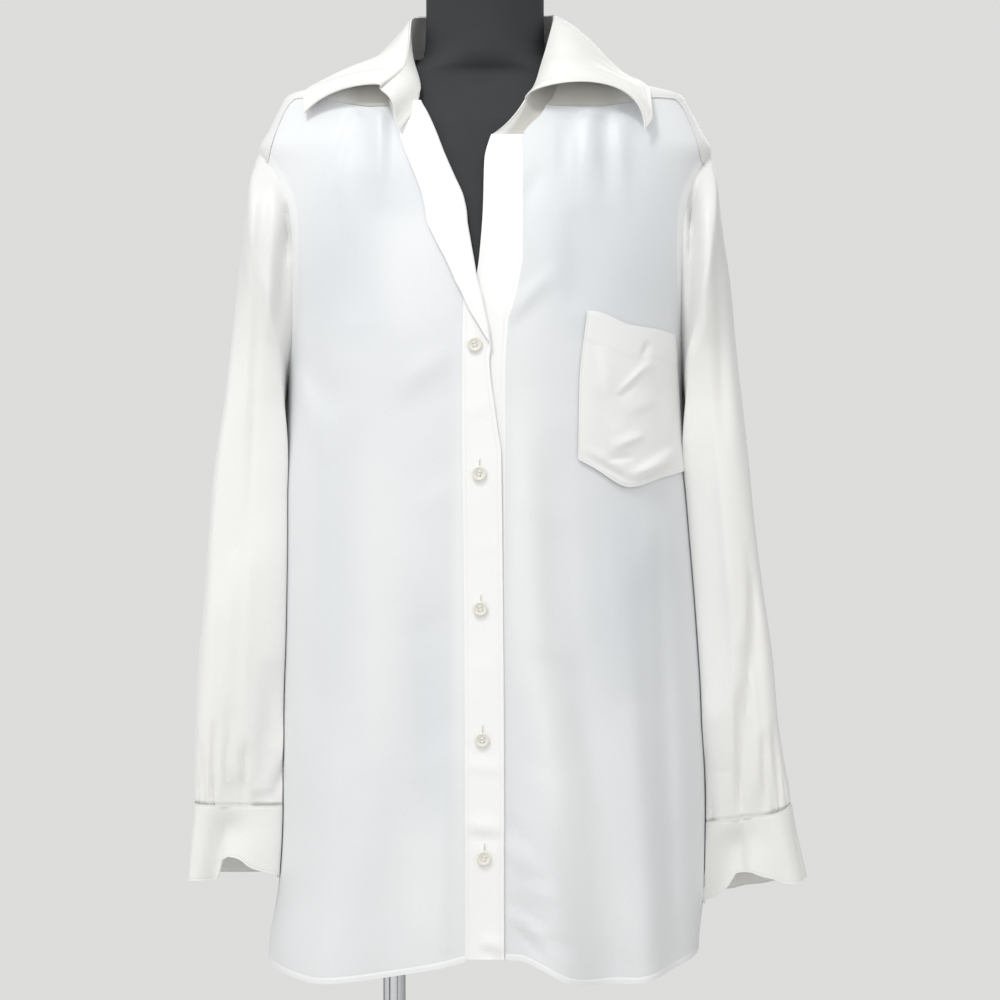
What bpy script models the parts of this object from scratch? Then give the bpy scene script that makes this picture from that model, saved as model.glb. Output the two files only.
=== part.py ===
"""A silk blouse worn on a limbless dress form with its stand.

Metres, +Z up. The blouse faces -Y and the origin is on the floor under the form.
Right and left are the wearer's, so the wearer's right is at -X. The tables are in millimetres.
"""

import math

import bmesh
import bpy
import numpy as np

MM = 0.001
PANEL_CLOTH = 1.2 * MM
BAND_CLOTH = 1.4 * MM
SEAM_GAP = 0.5 * MM

SECTION_POWER = 2.3
FORM_DROP = 2.5 * MM
FORM_EASE = 4.0 * MM
FORM_SIDE_EASE = 1.0 * MM
FORM_THROAT_EASE = 8.0 * MM
FORM_THROAT_RISE = 40.0 * MM

RING_STEPS = 28
FRONT_SEAM_STEP = 2
BACK_SEAM_STEP = 4
ARMHOLE_TOP = 1.356
ARMHOLE_BOTTOM = 1.160
ARMHOLE_SHOULDER_X = 0.192
ARMHOLE_UNDERARM_X = 0.1665
ARMHOLE_FRONT_X = {-1.0: 0.1515, 1.0: 0.1570}
ARMHOLE_BACK_X = 0.160

PLACKET_WIDTH = 31.0 * MM
PLACKET_OVERLAP_LIFT = 2.2 * MM
LAPEL_ROLL_RADIUS = 1.7 * MM
LAPEL_EDGE = 1.7 * MM

BODY_ROWS = 11
FRONT_COLUMNS = 13
BACK_COLUMNS = 25
SLEEVE_ROWS = 16
CUFF_ROWS = 5
CUFF_RISE_POWER = 1.5

POLE_X = -0.077
POLE_RADIUS = 0.0095
BASE_RADIUS = 0.170
BASE_THICKNESS = 0.012

# Gaps and places at the seams.
NECK_CORNER = 53.8 * MM
NECK_MIDDLE = np.array([0.0, 0.006, 0.0])
NECK_GAP = 1.2 * MM
YOKE_END_GAP = 0.9 * MM
YOKE_SEAM_GAP = 0.9 * MM
YOKE_CORNER_BACK_X = 0.135
PLACKET_SEAM_GAP = 0.6 * MM
STAND_START = 0.04
LEAF_START = 0.015

# Where the collar and the form take their columns and rings.
NECK_COLUMNS = np.linspace(2.4, 12.55, 13)
STAND_COLUMNS = np.concatenate([np.linspace(0.0, 2.4, 4, endpoint=False), NECK_COLUMNS, [12.8, 13.0]])
FORM_STEPS = 32
FORM_HEIGHTS = np.array([
    752, 770, 830, 920, 1020, 1110, 1160, 1200, 1256, 1300, 1340, 1370,
    1384, 1393, 1400, 1406, 1412, 1418, 1424, 1432, 1445, 1475, 1530, 1535,
]) * MM


def table(columns, *rows):
    """The named columns of a table in millimetres, as arrays in metres."""
    values = np.array(rows, dtype=float) * MM
    return {name: values[:, index] for index, name in enumerate(columns.split())}


# Horizontal sections of the blouse: half-widths to each side, and depths to the front and back.
BLOUSE = table(
    "height right left front back",
    (600, 186, 182, 152, 133),
    (684, 183, 181, 150, 130),
    (740, 174.5, 186, 148, 127),
    (808, 171, 187, 146, 123),
    (890, 171, 185, 142, 118),
    (960, 171, 181, 139, 114),
    (1060, 171, 173.5, 136, 110),
    (1160, 166.5, 167, 134, 107),
    (1200, 168, 168, 131, 106),
    (1256, 175, 175, 122, 105),
    (1300, 182, 181, 110, 103),
    (1340, 189, 188, 96.5, 98),
    (1356, 192, 192, 90, 95),
    (1375, 183, 183, 81, 90),
    (1394, 174, 173, 70.5, 83),
    (1404, 168, 167, 65, 78.5),
    (1413, 133, 132, 60, 74),
    (1425, 100, 100, 55.5, 69),
    (1439, 66, 66, 51, 64.5),
    (1453, 46, 46, 46, 61),
    (1470, 20, 20, 20, 30),
)

# The form: its own sections below the chest, and the blouse's, let down a little, above it.
FORM = table(
    "height half front back",
    (752, 140, 98, 92),
    (770, 152, 108, 100),
    (830, 160, 117, 108),
    (920, 147, 110, 99),
    (1020, 117, 93, 80),
    (1110, 136, 112, 90),
    (1160, 148, 124.5, 97),
    (1200, 152, 127.5, 100),
    (1256, 156, 118.5, 100),
    (1300, 160, 106.5, 98),
    (1340, 160, 90.5, 92),
    (1370, 160, 76.5, 84.5),
)
FORM_NECK = table(
    "height radius middle",
    (1424, 57, 5),
    (1432, 53.5, 4),
    (1445, 51, 4.5),
    (1475, 50, 5),
    (1535, 50.5, 6),
)

# Soft ridges (+) and troughs (-) of the hanging cloth, which grow from their top to the hem.
FRONT_FOLDS = table(
    "top_x top_z low_x low_z width depth",
    (-112, 1080, -128, 660, 17, 7.5),
    (-66, 1000, -72, 660, 20, -9.8),
    (-38, 960, -36, 660, 13, 4.5),
    (34, 1120, 64, 660, 15, 9.0),
    (58, 1100, 104, 660, 15, -11.2),
    (112, 1080, 136, 660, 13, 8.2),
    (138, 1160, 156, 660, 9, -6.8),
)
BACK_FOLDS = table(
    "top_x top_z low_x low_z width depth",
    (-118, 1200, -132, 660, 16, 8.4),
    (-84, 1230, -98, 660, 15, -9.8),
    (-38, 1290, -46, 660, 17, 9.8),
    (0, 1330, 2, 660, 15, -10.5),
    (40, 1290, 52, 660, 17, 9.8),
    (88, 1230, 96, 660, 15, -9.1),
    (122, 1200, 138, 660, 14, 7.7),
)
# Short gathers below the yoke's front seam.
YOKE_GATHERS = table(
    "top_x top_z low_x low_z width depth",
    (-101, 1386, -112, 1290, 6, -4.0),
    (-88, 1388, -92, 1270, 6, 4.2),
    (-76, 1388, -80, 1300, 5, -3.2),
    (74, 1388, 76, 1290, 6, -3.2),
    (86, 1387, 88, 1270, 6, 3.8),
    (99, 1384, 104, 1290, 6, -3.2),
    (112, 1382, 120, 1290, 7, 3.0),
)

HEM = table(
    "across front back",
    (-190, 677, 677),
    (-166, 674, 671),
    (-143, 672, 668),
    (-112, 675, 668),
    (-71, 681, 669),
    (-35, 690, 670),
    (0, 697, 670),
    (28, 696, 670),
    (45, 689, 669),
    (73, 676, 669),
    (93, 673, 668),
    (120, 672.5, 669),
    (152, 678, 672),
    (172, 683, 679),
    (190, 688, 688),
)

# The seam between the yoke and each front: its height at a distance from the middle.
YOKE_FRONT_SEAM = table(
    "across height",
    (50, 1388.5),
    (62, 1388),
    (90, 1388),
    (120, 1393),
    (145, 1399),
    (158, 1399.5),
    (166, 1393),
    (171, 1383),
    (176, 1369),
    (181.8, 1346.3),
)
YOKE_BACK_SEAM = table(
    "across height",
    (0, 1352),
    (60, 1350),
    (120, 1341),
    (150, 1330),
    (167.8, 1319.1),
)

# Inner edge of each front: the placket's seam, then the edge that rolls back or runs up to the neck.
RIGHT_EDGE = table(
    "height across",
    (600, -14.5),
    (860, -14.8),
    (1014, -15.8),
    (1110, -17),
    (1150, -17.2),
    (1196, -16.8),
    (1226, -16.2),
    (1240, -17.2),
    (1256, -17.8),
    (1272, -17.2),
    (1292, -16.6),
    (1307, -19),
    (1325, -26.5),
    (1345, -35),
    (1365, -42.5),
    (1380, -49),
    (1390, -54.5),
)
LEFT_EDGE = table(
    "height across",
    (600, 16.5),
    (1158, 16.8),
    (1204, 19),
    (1230, 26),
    (1259, 30.5),
    (1339, 31),
    (1358, 31.5),
    (1361, 34),
    (1366, 38),
    (1372, 44),
    (1380, 51.8),
    (1390, 56.5),
)
LEFT_PLACKET_TOP = 1.3600
LEFT_FREE_EDGE = table(
    "height across",
    (600, -14),
    (1158, -14),
    (1204, -12.5),
    (1230, -8.5),
    (1241, -6.5),
    (1259, -4),
    (1300, -1),
    (1339, 0),
    (1360, 5),
)
# The right placket's own width, and how far along it the placket runs before it rolls back.
RIGHT_FOLD = table(
    "height width run",
    (600, 31, 31),
    (1100, 31, 31),
    (1112, 31, 29.3),
    (1126, 31, 27.4),
    (1142, 31, 25.2),
    (1160, 31, 22.6),
    (1196, 31, 20.2),
    (1214, 31, 15.6),
    (1226, 31, 13),
    (1240, 32, 10.2),
    (1256, 34.5, 8),
    (1272, 37, 4.6),
    (1292, 40, 1.2),
    (1306, 41.5, 1),
    (1325, 39.5, 1),
    (1345, 37.5, 1),
    (1390, 37, 1),
)
RIGHT_PLACKET_TOP = 1.384

# Collar sections from the left front end, round the back, to the right front end:
# the stand from the neck seam over its crest to the leaf's seam, then the leaf to its outer edge.
STAND_SECTIONS = table(
    "seam_x seam_y seam_z crest_x crest_y crest_z top_x top_y top_z",
    (7, -89, 1361, 21, -87, 1373, 34, -79, 1391),
    (32, -84, 1363, 38, -76, 1383, 42, -68, 1405),
    (50, -74, 1380, 50, -60, 1402, 48, -50, 1426),
    (60, -56, 1402, 57, -42, 1424, 54, -30, 1449),
    (66, -24, 1431, 62, -14, 1451, 59, -4, 1472),
    (62, 20, 1442, 58, 24, 1461, 55, 26, 1478),
    (38, 50, 1450, 36, 52, 1466, 34, 55, 1482),
    (0, 62, 1453, 0, 65, 1469, 0, 68, 1484),
    (-38, 50, 1450, -36, 52, 1466, -34, 55, 1482),
    (-62, 20, 1442, -60, 24, 1461, -57, 26, 1477),
    (-66, -20, 1433, -64, -16, 1452, -63, -6, 1469),
    (-60, -52, 1407, -60, -41, 1428, -64, -32, 1446),
    (-54, -67, 1393, -55, -58, 1409, -66, -56, 1424),
    (-49.5, -72, 1390, -50, -70, 1398, -78, -74, 1404),
)
LEAF_SECTIONS = table(
    "near_x near_y near_z far_x far_y far_z edge_x edge_y edge_z",
    (62, -80, 1409, 102, -64, 1409, 136, -71, 1366),
    (68, -74, 1416, 106, -60, 1410.5, 139.5, -61, 1379.5),
    (76, -60, 1425, 108, -46, 1415, 138, -46, 1402),
    (80.5, -36, 1442, 104.5, -27, 1427, 128, -24, 1415.5),
    (83, -6, 1455, 102.5, -3, 1435.5, 121, 2, 1420),
    (76.5, 36, 1459, 92.5, 44, 1437, 112.5, 54, 1413.5),
    (48, 67, 1462, 60, 77, 1434, 72, 86, 1404),
    (0, 82, 1463, 0, 88, 1434, 0, 93, 1402),
    (-48, 67, 1462, -60, 77, 1434, -72, 86, 1404),
    (-79, 36, 1457, -98, 44, 1434.5, -118, 54, 1412.5),
    (-85, -4, 1442, -106, -2, 1429, -131, 4, 1417.5),
    (-84, -34, 1433, -111, -27, 1425, -142, -20, 1412.5),
    (-86, -58, 1417, -115, -48, 1413, -151, -38, 1400.5),
    (-94, -77, 1404, -120, -68, 1400, -149, -57, 1383),
)

# Sleeve sections below the armhole: the outer and inner ends, then the front and back depths.
SLEEVE_COLUMNS = "outer_x outer_z inner_x inner_z front back"
RIGHT_SLEEVE = table(
    SLEEVE_COLUMNS,
    (197, 1338, 168.5, 1153, 75, 78),
    (202, 1310, 170, 1145, 72, 80),
    (206, 1272, 172, 1134, 67, 80),
    (212, 1220, 174, 1118, 62, 79),
    (220, 1150, 176, 1085, 58, 76),
    (231, 1060, 176.5, 1025, 56, 71),
    (239, 960, 175, 950, 53, 65),
    (244.5, 885, 174, 880, 49, 58),
    (246, 845, 174, 843, 45, 53),
    (246, 820, 174, 820, 41, 48),
    (245.5, 808.2, 174.5, 807.2, 38.5, 45),
)
LEFT_SLEEVE = table(
    SLEEVE_COLUMNS,
    (195, 1338, 168.5, 1153, 75, 78),
    (199, 1304, 170.5, 1145, 72, 80),
    (204, 1264, 173, 1134, 67, 80),
    (209, 1210, 175, 1118, 62, 79),
    (217.5, 1130, 178, 1080, 58, 76),
    (230, 1025, 182, 1010, 56, 71),
    (242, 935, 186.5, 920, 53, 65),
    (249, 870, 189.5, 858, 49, 58),
    (254, 838, 190, 824, 45, 53),
    (257.5, 819, 190, 802, 41, 48),
    (258.5, 807.3, 190, 790.2, 38.5, 45),
)
# Creases that run down a sleeve: place round it (degrees, 0 outside, 90 front), heights, size.
RIGHT_SLEEVE_CREASES = (
    {"angle": 128, "top": 1.33, "low": 0.90, "width": 15, "depth": -7.0},
    {"angle": 62, "top": 1.25, "low": 0.86, "width": 22, "depth": 4.0},
    {"angle": 98, "top": 1.16, "low": 0.80, "width": 14, "depth": -5.0},
    {"angle": 250, "top": 1.30, "low": 0.84, "width": 22, "depth": 6.0},
    {"angle": 285, "top": 1.22, "low": 0.84, "width": 18, "depth": -6.0},
)
LEFT_SLEEVE_CREASES = (
    {"angle": 122, "top": 1.36, "low": 1.10, "width": 12, "depth": -7.5},
    {"angle": 58, "top": 1.25, "low": 0.84, "width": 20, "depth": -4.5},
    {"angle": 86, "top": 1.12, "low": 0.82, "width": 16, "depth": 4.0},
    {"angle": 245, "top": 1.30, "low": 0.84, "width": 22, "depth": 6.0},
    {"angle": 290, "top": 1.22, "low": 0.84, "width": 18, "depth": -6.0},
)
# Gathers where a sleeve goes into its cuff.
CUFF_GATHERS = (30, 48, 66, 84, 104, 208, 232, 256, 282, 306)
CUFF_GATHER_DEPTH = 2.6 * MM
CUFF_GATHER_HALF_ANGLE = 7.0
CUFF_GATHER_REACH = 0.055

# Cuff sections from the sleeve's seam down, and a hollow pressed into each cuff's face.
RIGHT_CUFF = table(
    SLEEVE_COLUMNS,
    (246.5, 807.5, 174, 806.5, 40, 46),
    (247.5, 788, 175.5, 787, 40.5, 46.5),
    (249.5, 765, 177.2, 766, 42, 47.5),
    (251.5, 743.5, 179, 744.5, 43, 48.5),
)
LEFT_CUFF = table(
    SLEEVE_COLUMNS,
    (259.5, 806.5, 189, 789, 40, 46),
    (262.5, 788, 190, 769, 40.5, 46.5),
    (267.5, 765, 191.5, 745, 42, 47.5),
    (272.5, 744.5, 193, 722, 43, 48.5),
)
RIGHT_CUFF_HOLLOW = {"angle": 86, "drift": -14, "width": 22, "depth": -8.5}
LEFT_CUFF_HOLLOW = {"angle": 96, "drift": 30, "width": 22, "depth": -9.5}
# How far each cuff's lower edge turns up at places round it. The places are in degrees.
RIGHT_CUFF_RISE = table(
    "angle rise",
    (0, 0),
    (64, 0),
    (90, 18),
    (105, 18),
    (128, 9),
    (155, 3),
    (180, 0),
    (360, 0),
)
LEFT_CUFF_RISE = table(
    "angle rise",
    (0, 0),
    (40, 1),
    (64, 5),
    (90, 13),
    (115, 20),
    (128, 20),
    (146, 2),
    (180, 0),
    (360, 0),
)

POCKET_ENDS = table(
    "share top bottom",
    (0, 1214.5, 1095),
    (140, 1213.5, 1088),
    (470, 1204.5, 1072.5),
    (800, 1202, 1081),
    (1000, 1199, 1086),
)
POCKET_SIDES = table(
    "share left right",
    (0, 75, 164),
    (500, 76, 160.5),
    (1000, 82.5, 155.5),
)
POCKET_LIFT = 1.0 * MM
POCKET_SAG = 3.2 * MM

BUTTON_RADIUS = 6.0 * MM
BUTTON_THICKNESS = 2.2 * MM
FRONT_BUTTONS = table(
    "across height",
    (-7.5, 1187),
    (-4, 1083.5),
    (-3, 975.5),
    (-1.5, 871),
    (0, 777.5),
)


def smooth_curve(place, places, values):
    """A smooth curve without overshoot through values at rising places, level beyond its ends."""
    place = np.clip(place, places[0], places[-1])
    steps = np.diff(places)
    slopes = np.diff(values) / steps
    tangents = np.zeros_like(values)
    tangents[0] = slopes[0]
    tangents[-1] = slopes[-1]
    product = slopes[:-1] * slopes[1:]
    total = np.where(product > 0, slopes[:-1] + slopes[1:], 1.0)
    tangents[1:-1] = np.where(product > 0, 2.0 * product / total, 0.0)
    low = np.clip(np.searchsorted(places, place, side="right") - 1, 0, len(steps) - 1)
    part = (place - places[low]) / steps[low]
    rise = part * part * (3.0 - 2.0 * part)
    leave = part * (1.0 - part) ** 2 * steps[low] * tangents[low]
    arrive = part * part * (part - 1.0) * steps[low] * tangents[low + 1]
    return values[low] * (1.0 - rise) + values[low + 1] * rise + leave + arrive


def along(curve, key, column, place):
    return smooth_curve(place, curve[key], curve[column])


def ease(value):
    value = np.clip(value, 0.0, 1.0)
    return value * value * (3.0 - 2.0 * value)


def half_width(x, z):
    right = along(BLOUSE, "height", "right", z)
    left = along(BLOUSE, "height", "left", z)
    return np.where(x < 0, right, left)


def fold_height(folds, x, z):
    """Height of the soft ridges and troughs of a table at a place on the cloth."""
    height = np.zeros(np.broadcast(x, z).shape)
    for top_x, top_z, low_x, low_z, width, depth in zip(*folds.values()):
        run = np.clip((top_z - z) / (top_z - low_z), 0.0, 1.0)
        middle = top_x + (low_x - top_x) * run
        spread = width * (0.6 + 0.7 * run)
        height += depth * ease(run) * np.exp(-((x - middle) / spread) ** 2)
    return height


def gather_height(x, z):
    """Short gathers, deepest just below the yoke's seam."""
    height = np.zeros(np.broadcast(x, z).shape)
    for top_x, top_z, low_x, low_z, width, depth in zip(*YOKE_GATHERS.values()):
        run = np.clip((top_z - z) / (top_z - low_z), 0.0, 1.0)
        middle = top_x + (low_x - top_x) * run
        strength = (1.0 - run) ** 1.5 * ease(run * 12.0)
        height += depth * strength * np.exp(-((x - middle) / (width * (1.0 + run))) ** 2)
    return height


def front_y(x, z):
    """Depth of the blouse's front at a width and a height."""
    ratio = np.clip(np.abs(x) / half_width(x, z), 0.0, 1.0)
    depth = along(BLOUSE, "height", "front", z)
    depth = depth * (1.0 - ratio ** SECTION_POWER) ** (1.0 / SECTION_POWER)
    fade = ease((1.0 - ratio) * 9.0)
    return -(depth + fade * (fold_height(FRONT_FOLDS, x, z) + gather_height(x, z)))


def back_y(x, z):
    ratio = np.clip(np.abs(x) / half_width(x, z), 0.0, 1.0)
    depth = along(BLOUSE, "height", "back", z)
    depth = depth * (1.0 - ratio ** SECTION_POWER) ** (1.0 / SECTION_POWER)
    fade = ease((1.0 - ratio) * 9.0)
    return depth + fade * fold_height(BACK_FOLDS, x, z)


def armhole(side, angle):
    """Points of the armhole seam: 0 at the shoulder, 180 degrees at the underarm, 90 in front."""
    turn = np.radians(angle)
    middle_z = (ARMHOLE_TOP + ARMHOLE_BOTTOM) / 2.0
    z = middle_z + (ARMHOLE_TOP - ARMHOLE_BOTTOM) / 2.0 * np.cos(turn)
    waist = np.where(np.sin(turn) > 0, ARMHOLE_FRONT_X[side], ARMHOLE_BACK_X)
    end = np.where(np.cos(turn) > 0, ARMHOLE_SHOULDER_X, ARMHOLE_UNDERARM_X)
    x = side * (waist + (end - waist) * np.abs(np.cos(turn)) ** 3.0)
    front = front_y(x, z)
    back = back_y(x, z)
    y = np.where(np.sin(turn) > 0, front, back)
    y = np.where(np.abs(np.sin(turn)) < 1e-6, 0.0, y)
    return np.stack([x, y, z], axis=-1)


def section_angle(x, z):
    """How far round its section a point lies, as an angle from the middle to the side."""
    ratio = np.clip(np.abs(x) / half_width(x, z), 0.0, 1.0)
    return np.arcsin(ratio ** (SECTION_POWER / 2.0))


def surface_normals(points, closed=False):
    """Unit normals of a grid of points, from its neighbours' differences."""
    if closed:
        across = np.roll(points, -1, axis=1) - np.roll(points, 1, axis=1)
    else:
        across = np.gradient(points, axis=1)
    up = np.gradient(points, axis=0)
    normals = np.cross(across, up)
    return normals / np.linalg.norm(normals, axis=-1, keepdims=True)


def material(name, colour, roughness, metallic=0.0):
    made = bpy.data.materials.new(name)
    made.use_nodes = True
    shader = made.node_tree.nodes["Principled BSDF"]
    shader.inputs["Base Color"].default_value = (*colour, 1.0)
    shader.inputs["Roughness"].default_value = roughness
    shader.inputs["Metallic"].default_value = metallic
    return made


def finish(name, bm, look):
    """Turn a bmesh into one named, smooth-shaded object with its own material."""
    bmesh.ops.remove_doubles(bm, verts=bm.verts, dist=1e-7)
    bmesh.ops.recalc_face_normals(bm, faces=bm.faces)
    mesh = bpy.data.meshes.new(name)
    bm.to_mesh(mesh)
    bm.free()
    mesh.shade_smooth()
    made = bpy.data.objects.new(name, mesh)
    bpy.context.scene.collection.objects.link(made)
    colour, roughness, metallic = look
    made.data.materials.append(material(name, colour, roughness, metallic))
    return made


def cloth_wall(name, face, back_face, look, closed=False):
    """A closed wall between two grids of points; a closed one joins its last column to its first."""
    if closed:
        face = np.concatenate([face, face[:, :1]], axis=1)
        back_face = np.concatenate([back_face, back_face[:, :1]], axis=1)
    rows, columns = face.shape[:2]
    bm = bmesh.new()
    bmesh.ops.create_grid(bm, x_segments=columns - 1, y_segments=rows - 1, size=0.5)
    other_side = bm.verts.layers.float_vector.new("other_side")
    for vert, place, partner in zip(bm.verts, face.reshape(-1, 3), back_face.reshape(-1, 3)):
        vert.co = place
        vert[other_side] = partner
    if closed:
        bmesh.ops.remove_doubles(bm, verts=bm.verts, dist=1e-7)
    grown = bmesh.ops.extrude_face_region(bm, geom=bm.faces[:], use_keep_orig=True)
    for element in grown["geom"]:
        if isinstance(element, bmesh.types.BMVert):
            element.co = element[other_side]
    return finish(name, bm, look)


def thickened(name, face, cloth, look, closed=False):
    """A wall that grows from its outer face to its inner one."""
    normals = surface_normals(face, closed)
    return cloth_wall(name, face, face - normals * cloth, look, closed)


SILK = ((0.86, 0.87, 0.86), 0.42, 0.0)
SILK_DOUBLED = ((0.93, 0.93, 0.91), 0.40, 0.0)
PEARL = ((0.88, 0.87, 0.80), 0.22, 0.0)
FORM_COVER = ((0.045, 0.047, 0.05), 0.85, 0.0)
CHROME = ((0.62, 0.63, 0.65), 0.16, 1.0)


def armhole_angles(first_step, last_step):
    steps = np.arange(first_step, last_step - 1, -1)
    return steps * 360.0 / RING_STEPS


def front_face(side):
    """Outer face of one front: up from the hem to the yoke's seam, out from placket to armhole."""
    edge = RIGHT_EDGE if side < 0 else LEFT_EDGE
    rim = armhole(side, armhole_angles(RING_STEPS // 2, FRONT_SEAM_STEP))
    part = np.linspace(0.0, 1.0, FRONT_COLUMNS)
    neck_z = along(YOKE_FRONT_SEAM, "across", "height", NECK_CORNER) - SEAM_GAP / 2.0
    inner_z = np.linspace(ARMHOLE_BOTTOM, neck_z, len(rim))
    widths = []
    heights = []
    for share in np.linspace(0.0, 1.0, BODY_ROWS, endpoint=False):
        z = np.full(FRONT_COLUMNS, ARMHOLE_BOTTOM)
        for _ in range(3):
            x = front_row(side, edge, z, part, math.pi / 2.0)
            low = along(HEM, "across", "front", x)
            z = low + (ARMHOLE_BOTTOM - low) * share
        widths.append(x)
        heights.append(z)
    for place, low_z in zip(rim, inner_z):
        z = low_z + (place[2] - low_z) * part
        end = section_angle(place[0], place[2])
        widths.append(front_row(side, edge, z, part, end))
        heights.append(z)
    x = np.array(widths)
    z = np.array(heights)
    top = along(YOKE_FRONT_SEAM, "across", "height", np.abs(x[-1])) - SEAM_GAP / 2.0
    reach = np.clip((np.arange(len(x)) - BODY_ROWS) / (len(rim) - 1.0), 0.0, 1.0) ** 2.2
    z += reach[:, None] * (top - z[-1])[None, :]
    z[:, -1] = heights_of_edge(heights, -1)
    face = np.stack([x, front_y(x, z), z], axis=-1)
    face[BODY_ROWS:, -1] = rim
    face[:, -1, 0] -= side * SEAM_GAP / 2.0
    face[:BODY_ROWS + 1, -1, 1] = -SEAM_GAP / 2.0
    return face


def front_panel(name, side, face):
    if side < 0:
        face = face[:, ::-1]
    return thickened(name, face, PANEL_CLOTH, SILK)


def heights_of_edge(heights, column):
    return np.array([row[column] for row in heights])


def front_row(side, edge, z, part, end):
    """Widths along one row of a front, evenly spaced round its section."""
    inner_x = along(edge, "height", "across", z[0]) + side * SEAM_GAP / 2.0
    start = section_angle(inner_x, z[0])
    turn = start + (end - start) * part
    x = side * half_width(np.full_like(z, side), z) * np.sin(turn) ** (2.0 / SECTION_POWER)
    x[0] = inner_x
    return x


def back_face():
    """Outer face of the back, from one side seam and armhole to the other."""
    steps = np.arange(RING_STEPS // 2, RING_STEPS - BACK_SEAM_STEP + 1)
    angles = steps * 360.0 / RING_STEPS
    rims = {side: armhole(side, angles) for side in (-1.0, 1.0)}
    part = np.linspace(-1.0, 1.0, BACK_COLUMNS)
    middle_top = along(YOKE_BACK_SEAM, "across", "height", 0.0) - SEAM_GAP / 2.0
    middle_z = np.linspace(ARMHOLE_BOTTOM, middle_top, len(angles))
    widths = []
    heights = []
    for share in np.linspace(0.0, 1.0, BODY_ROWS, endpoint=False):
        z = np.full(BACK_COLUMNS, ARMHOLE_BOTTOM)
        for _ in range(3):
            x = back_row(z, part, math.pi / 2.0)
            low = along(HEM, "across", "back", x)
            z = low + (ARMHOLE_BOTTOM - low) * share
        widths.append(x)
        heights.append(z)
    for place, low_z in zip(rims[1.0], middle_z):
        z = low_z + (place[2] - low_z) * np.abs(part)
        widths.append(back_row(z, part, section_angle(place[0], place[2])))
        heights.append(z)
    x = np.array(widths)
    z = np.array(heights)
    top = along(YOKE_BACK_SEAM, "across", "height", np.abs(x[-1])) - SEAM_GAP / 2.0
    reach = np.clip((np.arange(len(x)) - BODY_ROWS) / (len(angles) - 1.0), 0.0, 1.0) ** 2.2
    z += reach[:, None] * (top - z[-1])[None, :]
    face = np.stack([x, back_y(x, z), z], axis=-1)
    for side, column in ((-1.0, 0), (1.0, -1)):
        face[BODY_ROWS:, column] = rims[side]
        face[:, column, 0] -= side * SEAM_GAP / 2.0
        face[:BODY_ROWS + 1, column, 1] = SEAM_GAP / 2.0
    return face


def back_panel(face):
    return thickened("back", face[:, ::-1], PANEL_CLOTH, SILK)


def back_row(z, part, end):
    turn = end * np.abs(part)
    wide = half_width(part, z)
    return np.sign(part) * wide * np.sin(turn) ** (2.0 / SECTION_POWER)


def on_blouse(points):
    """Points moved along rays from inside the chest onto the blouse's own surface."""
    start = points * np.array([0.75, 0.0, 0.0]) + np.array([0.0, 0.0, 1.30])
    ray = points - start
    low = np.full(points.shape[:-1], 0.3)
    high = np.full(points.shape[:-1], 2.2)
    for _ in range(40):
        middle = (low + high) / 2.0
        place = start + ray * middle[..., None]
        inside = section_size(place[..., 0], place[..., 1], place[..., 2]) < 1.0
        low = np.where(inside, middle, low)
        high = np.where(inside, high, middle)
    return start + ray * low[..., None]


def section_size(x, y, z):
    """How far out a point lies: 1 on the blouse's plain surface, less inside it."""
    front = along(BLOUSE, "height", "front", z)
    back = along(BLOUSE, "height", "back", z)
    depth = np.where(y < 0, front, back)
    return (np.abs(x) / half_width(x, z)) ** SECTION_POWER + (np.abs(y) / depth) ** SECTION_POWER


def over_shoulder(points):
    """Points moved straight up or down onto the blouse's surface."""
    x, y = points[..., 0], points[..., 1]
    low = np.full(x.shape, 1.28)
    high = np.full(x.shape, 1.47)
    for _ in range(40):
        z = (low + high) / 2.0
        inside = section_size(x, y, z) < 1.0
        low = np.where(inside, z, low)
        high = np.where(inside, high, z)
    return np.stack([x, y, low], axis=-1)


def blouse_normals(points):
    """Outward unit normals of the blouse's plain surface."""
    step = 1.0 * MM
    slopes = []
    for axis in range(3):
        move = np.zeros(3)
        move[axis] = step
        ahead = section_size(*np.moveaxis(points + move, -1, 0))
        behind = section_size(*np.moveaxis(points - move, -1, 0))
        slopes.append(ahead - behind)
    normals = np.stack(slopes, axis=-1)
    return normals / np.linalg.norm(normals, axis=-1, keepdims=True)


def towards(start, end):
    away = end - start
    return away / np.linalg.norm(away, axis=-1, keepdims=True)


def stations(sections, prefix, places):
    """Points of one named line of the collar at places counted along its sections."""
    index = np.arange(len(sections[prefix + "_x"]), dtype=float)
    lines = [smooth_curve(places, index, sections[prefix + axis]) for axis in ("_x", "_y", "_z")]
    return np.stack(lines, axis=-1)


def neckline(places):
    return on_blouse(stations(STAND_SECTIONS, "seam", places))


def above_seam(seam):
    """The yoke's own edge: a front's top edge moved straight away from it by the gap at the seam."""
    run = np.gradient(seam, axis=0)
    length = np.hypot(run[:, 0], run[:, 2])
    upward = -np.sign(run[:, 0])
    x = seam[:, 0] + upward * run[:, 2] / length * YOKE_SEAM_GAP
    z = seam[:, 2] - upward * run[:, 0] / length * YOKE_SEAM_GAP
    return np.stack([x, front_y(x, z), z], axis=-1)


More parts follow.
